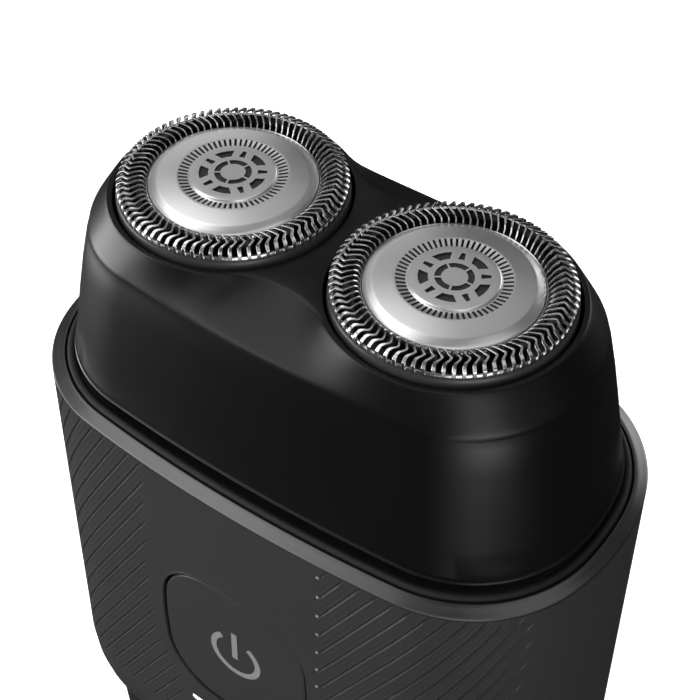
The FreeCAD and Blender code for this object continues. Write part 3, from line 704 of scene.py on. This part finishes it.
# ---------------------------------------------------------------- rim and seal
def make_rim():
    count = 240
    profile = ((RIM_OUTER, 1.62, RIM_LOW_Z - 3.0), (RIM_OUTER, 1.62, RIM_LOW_Z),
               (RIM_OUTER, 0.12, RIM_LOW_Z), (RIM_OUTER, 0.02, RIM_LOW_Z + 0.04),
               (RIM_OUTER, 0.0, RIM_LOW_Z + 0.14), (RIM_OUTER, 0.10, RIM_LOW_Z + 0.24),
               (RIM_OUTER, 0.28, RIM_LOW_Z + 0.30), (RIM_INNER, -0.45, RIM_TOP_Z - 0.20),
               (RIM_INNER, -0.10, RIM_TOP_Z - 0.03), (RIM_INNER, 0.02, RIM_TOP_Z),
               (RIM_INNER, 0.14, RIM_TOP_Z - 0.05), (RIM_INNER, 0.20, RIM_TOP_Z - 0.20),
               (RIM_INNER, 0.20, RIM_LOW_Z - 3.0))
    loops = [oval_loop(inset(outline, amount), z, count) for outline, amount, z in profile]
    rim = smooth(ring_piece("rim_band", loops, closed=True), 40)
    dress(rim, "handle", "rim_metal", material("rim"), "rim_trim")
    radius, centre_z = 0.56, 77.74
    bead_loops = []
    for i in range(14):
        angle = 2 * math.pi * i / 14
        outline = inset(RIM_INNER, 0.84 - radius * math.cos(angle))
        bead_loops.append(oval_loop(outline, centre_z + radius * math.sin(angle), count))
    bead = smooth(ring_piece("deck_bead", bead_loops, closed=True), 60)
    dress(bead, "handle", "black_rubber", material("rubber"), "deck_seal")


# ---------------------------------------------------------------- sleeve
LEFT_EDGE = ((80.0, -11.4), (74.0, -11.4), (61.0, -12.4), (54.0, -12.65), (51.0, -12.65),
             (46.0, -12.1), (44.0, -11.1), (41.0, -8.9), (36.0, -8.6), (31.0, -8.6), (0.0, -8.6))
RIGHT_EDGE = ((80.0, 11.25), (46.0, 11.25), (44.0, 10.6), (41.0, 8.9), (0.0, 8.9))
PANEL_END = 31.0
PANEL_TOP = 76.9
PANEL_LOW = 31.5
ROW_STEP = 0.72
TUCK_ROWS = (28.4, 27.0, 25.7, 24.5, 23.4, 22.3, 21.3)

# The grip lines lean by this slope. One is GRIP_X round the sleeve from the front's middle at GRIP_Z.
GRIP_SLOPE = math.tan(math.radians(60))
GRIP_X = 11.45
GRIP_Z = 75.54
# How far the blocks that cut openings reach through the front wall.
CUT_REACH = (-25.0, -14.0)


def grip_shift(z):
    """How far round the sleeve a leaning grip line has moved at height z."""
    return GRIP_X + (z - GRIP_Z) / GRIP_SLOPE


def edge_at(edge, z):
    for (z_high, x_high), (z_low, x_low) in zip(edge, edge[1:]):
        if z_low <= z <= z_high:
            return x_high + (x_low - x_high) * (z_high - z) / (z_high - z_low)
    return edge[-1][1]


def inside_panel(x, z):
    """1 on the grip panels left and right of the smooth middle, 0 elsewhere."""
    if not PANEL_LOW < z < PANEL_TOP:
        return 0.0
    if x < 0:
        return 1.0 if -PANEL_END < x < edge_at(LEFT_EDGE, z) else 0.0
    return 1.0 if edge_at(RIGHT_EDGE, z) < x < PANEL_END else 0.0


def make_sleeve():
    size = sizes()
    rise = size.line_rise / MM / 3
    run = rise / GRIP_SLOPE
    rim_loop = oval(RIM_OUTER)
    total = sum((b - a).length for a, b in zip(rim_loop, rim_loop[1:] + rim_loop[:1]))
    lines = round(total / run / 3) * 3
    count = lines * 3
    rows = []
    z = RIM_LOW_Z
    while z > TUCK[0][0]:
        rows.append(z)
        z -= ROW_STEP
    rows += [TUCK[0][0], *TUCK_ROWS, SLEEVE_LOW_Z]
    loops = []
    for z in rows:
        points = spaced(oval(sleeve_outline(z)), count, grip_shift(z))
        half = max(p.x for p in points)
        loop = []
        for i, point in enumerate(points):
            front = 1 if point.y < 0 else -1
            share = inside_panel(point.x * front, z) if abs(point.x) < half else 0.0
            depth = 0.0
            if share:
                order = i % 9
                if order == 0:
                    depth = size.groove_depth / MM
                elif order in (3, 6):
                    depth = size.fine_depth / MM
            after, before = points[(i + 1) % count], points[i - 1]
            along = (after - before).normalized()
            inward = Vector((-along.y, along.x))
            spot = point + inward * depth
            loop.append(Vector((spot.x, spot.y, z)) * MM)
        loops.append(loop)
    low_shift = grip_shift(SLEEVE_LOW_Z)
    for amount, z in ((0.5, SLEEVE_LOW_Z - 0.12), (WALL, SLEEVE_LOW_Z)):
        loops.append(oval_loop(sleeve_outline(SLEEVE_LOW_Z, amount), z, count, low_shift))
    for z in (TUCK[0][0], RIM_LOW_Z):
        loops.append(oval_loop(sleeve_outline(z, WALL), z, count, grip_shift(z)))
    sleeve = ring_piece("body_sleeve_skin", loops, closed=True)
    cut_away(sleeve, key_cutter())
    for side in (-1, 0, 1):
        cut_away(sleeve, pill_block("light_cutter", side * LIGHT_PITCH, 4.2, 1.1, *CUT_REACH))
    smooth(sleeve, 35)
    dress(sleeve, "handle", "sleeve_plastic", material("sleeve"), "body_sleeve")
    make_ticks()


def make_ticks():
    """A column of small raised ticks between the smooth middle and the right grip panel, coloured
    light grey as a painted highlight.
    """
    half_x, half_z = TICK_HALF
    loops = []
    for spread, height in ((1.0, -0.1), (1.0, 0.02), (0.45, 0.09)):
        corners = ((-half_x, -half_z), (half_x, -half_z), (half_x, half_z), (-half_x, half_z))
        loops.append([Vector((TICK_X + x * spread, face_y(TICK_X, GRIP_Z) - height,
                              GRIP_Z + z * spread)) * MM for x, z in corners])
    tick = capped(ring_piece("tick", loops), 4)
    parts = []
    for i in range(TICK_COUNT):
        z = GRIP_Z - TICK_PITCH * i
        drop = face_y(TICK_X, z) - face_y(TICK_X, GRIP_Z)
        parts.append(copied(tick, Matrix.Translation(Vector((0.0, drop, z - GRIP_Z)) * MM)))
    bpy.data.objects.remove(tick)
    # The ticks' light grey is a painted highlight.
    dress(joined("grip_ticks", parts), "handle", "sleeve_plastic", material("print_and_highlight"))


KEY_POINTS = 120
PILL_POINTS = 24


def key_loop(amount, depth=None, y=None):
    """The key's outline seen from the front, moved inwards, on the face or at a fixed y."""
    points = spaced(oval(inset(KEY_OUTLINE, amount)), KEY_POINTS)
    loop = []
    for point in points:
        x, z = KEY_X + point.x, KEY_Z + point.y
        place = y if depth is None else face_y(x, z, depth)
        loop.append(Vector((x, place, z)) * MM)
    return loop


def capped(obj, count):
    """Closes the first and the last loop of a ring piece with flat faces."""
    for start in (0, len(obj.data.vertices) - count):
        choose(obj, "VERT", lambda v: start <= v.index < start + count)
        bpy.ops.mesh.select_mode(type="EDGE")
        bpy.ops.mesh.edge_face_add()
        object_mode()
    tidy_mesh(obj)
    return obj


def key_cutter():
    return capped(ring_piece("key_cutter", [key_loop(-0.35, y=y) for y in CUT_REACH]), KEY_POINTS)


def pill_loop(x, length, height, y=None, depth=0.0):
    radius = height / 2
    reach = length / 2 - radius
    loop = []
    for i in range(PILL_POINTS):
        angle = 2 * math.pi * (i + 0.5) / PILL_POINTS
        px = x + math.copysign(reach, math.cos(angle)) + radius * math.cos(angle)
        pz = LIGHT_Z + radius * math.sin(angle)
        loop.append(Vector((px, face_y(px, pz, depth) if y is None else y, pz)) * MM)
    return loop


def pill_block(name, x, length, height, y_low, y_high):
    loops = [pill_loop(x, length, height, y_low), pill_loop(x, length, height, y_high)]
    return capped(ring_piece(name, loops), PILL_POINTS)


# ---------------------------------------------------------------- key, symbol, lights
def make_key():
    loops = [key_loop(0.5, 1.45), key_loop(0.0, 1.45), key_loop(0.0, 0.34), key_loop(0.04, 0.2),
             key_loop(0.14, 0.13), key_loop(0.3, 0.115)]
    flat = spaced(oval(inset(KEY_OUTLINE, 0.3)), KEY_POINTS)
    for share in (0.85, 0.7, 0.55, 0.4, 0.25, 0.12, 0.03):
        loop = []
        for point in flat:
            x, z = KEY_X + point.x * share, KEY_Z + point.y * share
            loop.append(Vector((x, face_y(x, z, 0.115), z)) * MM)
        loops.append(loop)
    key = smooth(capped(ring_piece("power_key_cap", loops), KEY_POINTS), 35)
    dress(key, "power_key", "button_plastic", material("key"), "power_button")
    lips = [(-0.35, 0.9), (-0.35, 0.22), (-0.37, 0.08), (-0.43, -0.01), (-0.52, -0.03),
            (-0.62, 0.0), (-0.68, 0.08), (-0.68, 0.9)]
    ring = ring_piece("key_surround", [key_loop(a, d) for a, d in lips], closed=True)
    smooth(ring, 50)
    dress(ring, "handle", "sleeve_plastic", material("sleeve"))


def make_symbol():
    """The usual on/off sign: an open ring and an upright bar, printed on the key."""
    steps = 56
    gap = math.radians(36)
    outer, inner, lift = 3.5, 2.72, 0.095
    centre_x, centre_z = 0.2, 52.75
    focus()
    bpy.ops.mesh.primitive_plane_add(size=0.001)
    sign = named("power_symbol")

    def corner(radius, angle):
        x, z = centre_x + radius * math.sin(angle), centre_z + radius * math.cos(angle)
        return Vector((x, face_y(x, z, lift), z)) * MM

    def lay(vertices, points):
        for vertex, point in zip(vertices, points):
            vertex.co = point

    lay(sign.data.vertices, (corner(inner, gap), corner(outer, gap), corner(inner, gap + 0.01),
                             corner(outer, gap + 0.01)))
    sweep = 2 * math.pi - 2 * gap
    for i in range(1, steps + 1):
        last = len(sign.data.vertices) - 2
        choose(sign, "VERT", lambda v: v.index >= last)
        if i > 1:
            bpy.ops.mesh.extrude_region_move()
        object_mode()
        angle = gap + sweep * i / steps
        lay(sign.data.vertices[-2:], (corner(inner, angle), corner(outer, angle)))
    focus()
    bpy.ops.mesh.primitive_plane_add(size=0.001)
    bar = named("symbol_bar")
    half, low, high = 0.38, 52.3, 56.9

    def bar_spot(x, z):
        return Vector((centre_x + x, face_y(centre_x + x, z, lift), z)) * MM

    lay(bar.data.vertices, (bar_spot(-half, low), bar_spot(half, low), bar_spot(-half, high),
                            bar_spot(half, high)))
    choose(bar, "FACE", lambda f: True)
    bpy.ops.mesh.subdivide(number_cuts=6)
    object_mode()
    for vertex in bar.data.vertices:
        vertex.co.y = face_y(vertex.co.x / MM, vertex.co.z / MM, lift) * MM
    sign = joined("power_symbol", [bar, sign])
    tidy_mesh(sign, outward=False)
    if sum(face.normal.y for face in sign.data.polygons) > 0:
        choose(sign, "FACE", lambda f: True)
        bpy.ops.mesh.flip_normals()
        object_mode()
    modifier = sign.modifiers.new("body", "SOLIDIFY")
    modifier.thickness = 0.06 * MM
    modifier.offset = -1
    focus(sign)
    bpy.ops.object.modifier_apply(modifier=modifier.name)
    smooth(sign, 30)
    dress(sign, "power_key", "button_plastic", material("print_and_highlight"))


def light_row(name, steps, hollow):
    """The three lights' like pieces as one, from (length, height, depth) steps."""
    parts = []
    for side in (-1, 0, 1):
        x = side * LIGHT_PITCH
        loops = [pill_loop(x, length, height, depth=depth) for length, height, depth in steps]
        part = ring_piece("light", loops, closed=hollow)
        parts.append(part if hollow else capped(part, PILL_POINTS))
    return smooth(joined(name, parts), 50)


def make_lights():
    lens = light_row("light_windows", ((4.0, 0.9, 2.0), (4.0, 0.9, 0.16), (3.9, 0.8, 0.08),
                                       (3.5, 0.5, 0.05), (3.2, 0.14, 0.04)), hollow=False)
    dress(lens, "handle", "light_lens", material("light"), "light_lenses")
    lip = light_row("light_surrounds", ((4.12, 1.02, 0.8), (4.12, 1.02, 0.05),
                                        (4.22, 1.12, -0.02), (4.42, 1.32, -0.02),
                                        (4.5, 1.4, 0.06), (4.5, 1.4, 0.8)), hollow=True)
    dress(lip, "handle", "sleeve_plastic", material("sleeve"))


# ---------------------------------------------------------------- shaving heads
BEND_RADIUS = 10.3
# One bar from the collar over the track to the rim: radius, height, width, shift along the ring.
BAR_PATH = ((8.62, 100.55, 0.13, 0.0), (8.72, 101.15, 0.14, 0.0), (8.92, 101.55, 0.15, 0.02),
            (9.25, 101.80, 0.16, 0.22), (9.8, 101.90, 0.18, 0.54), (10.15, 101.92, 0.21, 0.75),
            (10.33, 101.91, 0.23, 0.78), (10.52, 101.89, 0.26, 0.66), (10.85, 101.84, 0.32, 0.34),
            (11.08, 101.77, 0.34, 0.24), (11.42, 101.56, 0.36, 0.22), (11.56, 101.40, 0.37, 0.22),
            (11.6, 101.28, 0.37, 0.22), (11.6, 100.58, 0.37, 0.22))


def one_bar():
    """One zigzag bar of the slotted cap, about the vertical axis, along +X."""
    thickness = 0.22
    stations = []
    for k, (radius, z, width, shift) in enumerate(BAR_PATH):
        before = BAR_PATH[max(k - 1, 0)]
        after = BAR_PATH[min(k + 1, len(BAR_PATH) - 1)]
        along = Vector((after[0] - before[0], after[1] - before[1])).normalized()
        inward = Vector((along.y, -along.x)) * thickness
        chamfer = width * 0.1
        ring = []
        for side, depth in ((-0.5, 1.0), (-0.5, 0.1), (-0.5 + chamfer / width, 0.0),
                            (0.5 - chamfer / width, 0.0), (0.5, 0.1), (0.5, 1.0)):
            r = radius + inward.x * depth
            height = z + inward.y * depth
            angle = shift / BEND_RADIUS + side * width / radius
            ring.append(Vector((r * math.cos(angle), r * math.sin(angle), height)) * MM)
        stations.append(ring)
    bar = capped(ring_piece("bar", stations), 6)
    return smooth(bar, 20)


def turned_ring(name, profile, x):
    """A closed ring about a head's axis from (radius, height) points."""
    return smooth(ring_piece(name, [circle_loop(r, z, 160, x) for r, z in profile], closed=True), 40)


def make_caps():
    bar = one_bar()
    count = sizes().bar_count
    for side, sign in SIDES:
        x = sign * head_centre()
        parts = [copied(bar, turn_about(x, 360 / count * i)) for i in range(count)]
        lower = ((11.2, 98.7), (11.2, 100.80), (11.28, 100.88), (11.42, 100.88), (11.46, 100.82),
                 (11.46, 100.3), (11.26, 98.7))
        band = turned_ring("band", lower, x)
        inner = ((8.56, 100.5), (8.54, 100.9), (8.58, 101.05), (8.66, 101.1), (8.76, 100.98),
                 (8.80, 100.5))
        collar = turned_ring("collar", inner, x)
        cap = joined(side + "_slotted_cap", parts + [band, collar])
        dress(cap, side + "_head", "cap_steel", material("bars"), side + "_head_cap")
        edge = ((11.5, 99.0), (11.5, 100.50), (11.56, 100.55), (11.64, 100.54), (11.69, 100.46),
                (11.80, 99.38), (11.77, 99.3), (11.70, 99.0))
        skirt = turned_ring(side + "_cap_skirt", edge, x)
        dress(skirt, side + "_head", "dark_plastic", material("skirt"))
    bpy.data.objects.remove(bar)


def prism(name, corners, z_low, z_high):
    """An upright block on a polygon of (x, y) corners."""
    loops = [[Vector((x, y, z)) * MM for x, y in corners] for z in (z_low, z_high)]
    return capped(ring_piece(name, loops), len(corners))


def polar(radius, degrees):
    return (radius * math.cos(math.radians(degrees)), radius * math.sin(math.radians(degrees)))


def sector(inner, outer, inner_half, outer_half, steps=3):
    """Corners of a window between two radii whose half angles differ."""
    corners = [polar(inner, -inner_half + 2 * inner_half * i / steps) for i in range(steps + 1)]
    corners += [polar(outer, outer_half - 2 * outer_half * i / steps) for i in range(steps + 1)]
    return corners


def disc_cutter(x):
    """All openings of a guide disc as one set of blocks."""
    slot = prism("slot", sector(4.52, 5.47, 1.5, 1.25, 1), 101.5, 103.0)
    wide = prism("wide", sector(2.47, 3.40, 11.5, 17.5), 101.80, 103.0)
    small = prism("small", sector(2.47, 3.40, 7.0, 3.2, 1), 101.80, 103.0)
    arc = prism("arc", sector(1.26, 1.87, 31.0, 32.8, 6), 101.88, 103.0)
    count = sizes().slot_count
    parts = [copied(slot, turn_about(x, 360 / count * i)) for i in range(count)]
    for i in range(5):
        parts.append(copied(wide, turn_about(x, 72 * i)))
        parts.append(copied(small, turn_about(x, 72 * i + 36)))
        parts.append(copied(arc, turn_about(x, 72 * i + 36)))
    for block in (slot, wide, small, arc):
        bpy.data.objects.remove(block)
    return joined("disc_cutter", parts)


def make_discs():
    profile = ((7.9, 100.54), (8.3, 100.54), (8.46, 100.8), (8.5, 101.0), (8.47, 101.14),
               (8.38, 101.24), (8.15, 101.36), (7.72, 101.55), (7.62, 101.59), (7.48, 101.62),
               (6.6, 101.77), (5.7, 101.93), (5.54, 101.95), (5.42, 101.93), (4.6, 101.77),
               (4.46, 101.77), (4.40, 101.80), (4.33, 101.97), (4.25, 102.03), (4.0, 102.06),
               (1.0, 102.07), (0.3, 102.07))
    for side, sign in SIDES:
        x = sign * head_centre()
        disc = capped(spun(side + "_guide_disc", profile, 180, x), 180)
        # The cut walls and floors of the slots and windows take the dark grey: painted shade in the
        # openings.
        finish, opening_shade = material("disc_" + side), material("opening_shade")
        paint(disc, finish, opening_shade)
        cutter = disc_cutter(x)
        paint(cutter, opening_shade)
        cut_away(disc, cutter, keep_material=True)
        smooth(disc, 24)
        dress(disc, side + "_head", "disc_metal", finish, side + "_cap_disc")


# ---------------------------------------------------------------- springs
WAVE_LOW_Z = 90.22
WAVE_HIGH_Z = 92.78
COIL_LOW_Z = 77.1
COIL_HIGH_Z = 81.95


def wave_loop(radius, height, swing, x, count=96):
    """A circle about a head's axis that rises and falls three times."""
    points = []
    for i in range(count):
        angle = 2 * math.pi * i / count
        points.append(Vector((x + radius * math.cos(angle), radius * math.sin(angle),
                              height + swing * math.sin(3 * angle))) * MM)
    return points


def wave_spring(name, x):
    """Three flat wavy turns that all but touch crest to crest."""
    strip, turns = 0.3, 3
    swing = (WAVE_HIGH_Z - WAVE_LOW_Z - strip * turns) / (2 * turns) - 0.005
    parts = []
    for k in range(turns):
        middle = WAVE_LOW_Z + strip / 2 + swing + k * (2 * swing + strip + 0.01)
        edge = ((9.1, -strip / 2), (10.1, -strip / 2), (10.1, strip / 2), (9.1, strip / 2))
        loops = [wave_loop(radius, middle + rise, swing * (-1) ** k, x) for radius, rise in edge]
        parts.append(ring_piece("turn", loops, closed=True))
    return smooth(joined(name, parts), 40)


def coil_spring():
    """A helical spring on the middle axis."""
    mean, wire, coils, steps, sides = 1.65, 0.18, 5, 18, 8
    loops = []
    for i in range(coils * steps + 1):
        angle = 2 * math.pi * i / steps
        height = COIL_LOW_Z + wire
        height += (COIL_HIGH_Z - COIL_LOW_Z - 2 * wire) * i / (coils * steps)
        loop = []
        for k in range(sides):
            turn = 2 * math.pi * k / sides
            radius = mean + wire * math.cos(turn)
            loop.append(Vector((radius * math.cos(angle), radius * math.sin(angle),
                                height + wire * math.sin(turn))) * MM)
        loops.append(loop)
    return smooth(capped(ring_piece("coil", loops), sides), 60)


def make_springs():
    coil = coil_spring()
    for side, sign in SIDES:
        x = sign * head_centre()
        wave = wave_spring(side + "_wave_spring", x)
        dress(wave, "shaving_unit", "steel", material("steel"), side + "_float_spring")
        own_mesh(wave)
        own = copied(coil, Matrix.Translation(Vector((x * MM, 0.0, 0.0))))
        own.name = own.data.name = side + "_coil_spring"
        dress(own, side + "_spindle", "steel", material("steel"), side + "_spindle_spring")
        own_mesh(own)
    bpy.data.objects.remove(coil)


# ---------------------------------------------------------------- studio
def area_light(name, place, target, width, height, power):
    focus()
    bpy.ops.object.light_add(type="AREA", location=place)
    lamp = bpy.context.object
    lamp.name = name
    lamp.data.shape = "RECTANGLE"
    lamp.data.size, lamp.data.size_y = width, height
    lamp.data.energy = power
    lamp.visible_camera = False
    aim = Vector(target) - Vector(place)
    lamp.rotation_mode = "QUATERNION"
    lamp.rotation_quaternion = aim.to_track_quat("-Z", "Y")
    return lamp


LIGHT_TARGET = (0.0, 0.0, 0.085)
# Each lamp: name, place, width and height in metres, power in watts.
LIGHTS = (
    ("over_left", (-0.36, 0.0, 0.68), 0.4, 0.4, 0.95),
    ("over_back", (-0.1, 0.36, 0.66), 0.4, 0.4, 0.15),
    ("over_right", (0.36, 0.05, 0.68), 0.4, 0.4, 0.36),
    ("front_middle", (-0.1, -0.6, 0.42), 0.4, 0.3, 0.35),
    ("high_left_front", (-0.32, -0.36, 0.62), 0.3, 0.3, 0.60),
    ("left_front", (-0.5, -0.5, 0.3), 0.4, 0.4, 1.80),
    ("left_low", (-0.7, -0.1, 0.1), 0.3, 0.16, 0.90),
    ("left_near", (-0.25, -0.12, 0.03), 0.2, 0.1, 0.45),
    ("left_back", (-0.4, 0.4, 0.6), 0.4, 0.4, 0.05),
    ("left_back_low", (-0.5, 0.4, 0.25), 0.4, 0.3, 0.22),
    ("right_end", (0.7, 0.0, 0.2), 0.3, 0.4, 0.08),
    ("right_front", (0.55, -0.42, 0.2), 0.3, 0.4, 0.64),
    ("low_right", (0.45, -0.32, 0.02), 0.3, 0.2, 0.62),
    ("high_right_front", (0.30, -0.42, 0.60), 0.4, 0.4, 0.50),
    ("near_corner", (0.10, -0.12, 0.012), 0.08, 0.08, 0.008),
    ("far_corner", (0.22, -0.24, 0.012), 0.12, 0.12, 0.055),
    ("back_low", (0.15, 0.7, 0.18), 0.4, 0.3, 1.0),
)
# The floor and its backdrop: (radius, height) in millimetres.
SWEEP = ((0.0, 0.0), (3000.0, 0.0), (3700.0, 150.0), (4200.0, 700.0), (4300.0, 2500.0),
         (3000.0, 4000.0), (0.0, 4400.0))
UNDER = ((0.0, -4400.0), (3000.0, -4000.0), (4300.0, -2500.0), (4400.0, 800.0))
AIR = 0.022

# The camera: place in millimetres, turn about X, Y and Z in degrees, lens in millimetres.
CAMERA_PLACE = (62.21, -86.18, 192.58)
CAMERA_TURN = (44.588, -0.373, 35.609)
CAMERA_LENS = 75.155


def make_stage():
    pale = Finish("pale_floor", (0.9, 0.9, 0.9), 0.9, **{
        "Emission Strength": 1.0, "Emission Color": (1.0, 1.0, 1.0, 1.0)})
    pale.tint(pale.noise(2.0, 2.0), (0.89, 0.89, 0.89), (0.91, 0.91, 0.91))
    outside = pale.node("ShaderNodeNewGeometry", {}, {}).out("Backfacing")
    clear = pale.node("ShaderNodeBsdfTransparent", {}, {})
    both = pale.node("ShaderNodeMixShader", {}, {0: outside, 1: pale.surface.out(), 2: clear.out()})
    pale.show(both.out())
    for name, profile in (("studio_floor", SWEEP), ("studio_under", UNDER)):
        stage = spun(name, profile, 96)
        choose(stage, "FACE", lambda f: True)
        bpy.ops.mesh.normals_make_consistent(inside=True)
        object_mode()
        stage.visible_glossy = False
        stage.visible_diffuse = False
        stage.visible_shadow = False
        stage.data.materials.append(pale.material)
    for name, place, width, height, power in LIGHTS:
        area_light(name, place, LIGHT_TARGET, width, height, power)
    fill = area_light("under_fill", (0.0, 0.0, -0.45), (0.0, 0.0, 0.0), 0.5, 0.5, 0.5)
    fill.visible_glossy = False
    world = bpy.data.worlds.new("studio_air")
    world.use_nodes = True
    air = world.node_tree.nodes["Background"].inputs
    air["Color"].default_value = (1.0, 1.0, 1.0, 1.0)
    air["Strength"].default_value = AIR
    bpy.context.scene.world = world
    bpy.context.scene.view_settings.view_transform = "Standard"
    focus()
    bpy.ops.object.camera_add(location=Vector(CAMERA_PLACE) * MM)
    camera = bpy.context.object
    camera.name = "studio_camera"
    camera.rotation_euler = [math.radians(degrees) for degrees in CAMERA_TURN]
    camera.data.lens = CAMERA_LENS
    camera.data.sensor_width = 36.0
    camera.data.clip_start = 0.01
    bpy.context.scene.camera = camera


# ---------------------------------------------------------------- add-on
class Maker:
    """Shared options of the operators below."""
    bl_options = {"REGISTER", "UNDO"}


class SHAVER_OT_finishes(Maker, bpy.types.Operator):
    """Make the finishes and give the internal parts theirs"""
    bl_idname = "shaver.finishes"
    bl_label = "Finishes"

    def execute(self, context):
        make_materials()
        finish_cad_nodes()
        return {"FINISHED"}


class SHAVER_OT_housing(Maker, bpy.types.Operator):
    """Model the black housing round both wells"""
    bl_idname = "shaver.housing"
    bl_label = "Head Housing"

    def execute(self, context):
        make_housing()
        return {"FINISHED"}


class SHAVER_OT_rim(Maker, bpy.types.Operator):
    """Model the rim band and the rubber bead inside it"""
    bl_idname = "shaver.rim"
    bl_label = "Rim and Bead"

    def execute(self, context):
        make_rim()
        return {"FINISHED"}


class SHAVER_OT_sleeve(Maker, bpy.types.Operator):
    """Model the sleeve with its grip lines and openings"""
    bl_idname = "shaver.sleeve"
    bl_label = "Sleeve"

    def execute(self, context):
        make_sleeve()
        return {"FINISHED"}


class SHAVER_OT_key(Maker, bpy.types.Operator):
    """Model the power key, its surround and its symbol"""
    bl_idname = "shaver.key"
    bl_label = "Power Key"

    def execute(self, context):
        make_key()
        make_symbol()
        return {"FINISHED"}


class SHAVER_OT_lights(Maker, bpy.types.Operator):
    """Model the three light windows"""
    bl_idname = "shaver.lights"
    bl_label = "Light Windows"

    def execute(self, context):
        make_lights()
        return {"FINISHED"}


class SHAVER_OT_caps(Maker, bpy.types.Operator):
    """Model the two slotted caps from one zigzag bar"""
    bl_idname = "shaver.caps"
    bl_label = "Slotted Caps"

    def execute(self, context):
        make_caps()
        return {"FINISHED"}


class SHAVER_OT_discs(Maker, bpy.types.Operator):
    """Model the two guide discs with their slots and windows"""
    bl_idname = "shaver.discs"
    bl_label = "Guide Discs"

    def execute(self, context):
        make_discs()
        return {"FINISHED"}


class SHAVER_OT_springs(Maker, bpy.types.Operator):
    """Model the wave springs and the coil springs that the heads float on"""
    bl_idname = "shaver.springs"
    bl_label = "Springs"

    def execute(self, context):
        make_springs()
        return {"FINISHED"}


class SHAVER_OT_stage(Maker, bpy.types.Operator):
    """Set up the floor, the lights and the camera"""
    bl_idname = "shaver.stage"
    bl_label = "Studio"

    def execute(self, context):
        make_stage()
        return {"FINISHED"}


OPERATORS = (SHAVER_OT_finishes, SHAVER_OT_housing, SHAVER_OT_rim, SHAVER_OT_sleeve,
             SHAVER_OT_key, SHAVER_OT_lights, SHAVER_OT_caps, SHAVER_OT_discs, SHAVER_OT_springs,
             SHAVER_OT_stage)


class SHAVER_PT_panel(bpy.types.Panel):
    """Sizes, colours and the pieces in order"""
    bl_idname = "SHAVER_PT_panel"
    bl_label = "Rotary Shaver"
    bl_space_type = "VIEW_3D"
    bl_region_type = "UI"
    bl_category = "Shaver"

    def draw(self, context):
        layout = self.layout
        for group in (context.scene.shaver_sizes, context.scene.shaver_colours):
            box = layout.box()
            for name in group.__annotations__:
                box.prop(group, name)
        for operator in OPERATORS:
            layout.operator(operator.bl_idname)


CLASSES = (ShaverSizes, ShaverColours) + OPERATORS + (SHAVER_PT_panel,)


def register():
    for cls in CLASSES:
        bpy.utils.register_class(cls)
    bpy.types.Scene.shaver_sizes = bpy.props.PointerProperty(type=ShaverSizes)
    bpy.types.Scene.shaver_colours = bpy.props.PointerProperty(type=ShaverColours)


def unregister():
    del bpy.types.Scene.shaver_colours
    del bpy.types.Scene.shaver_sizes
    for cls in reversed(CLASSES):
        bpy.utils.unregister_class(cls)


def main():
    register()
    bpy.ops.shaver.finishes()
    bpy.ops.shaver.stage()
    bpy.ops.shaver.housing()
    bpy.ops.shaver.rim()
    bpy.ops.shaver.sleeve()
    bpy.ops.shaver.key()
    bpy.ops.shaver.lights()
    bpy.ops.shaver.caps()
    bpy.ops.shaver.discs()
    bpy.ops.shaver.springs()
    object_mode()


if __name__ == "__main__":
    main()
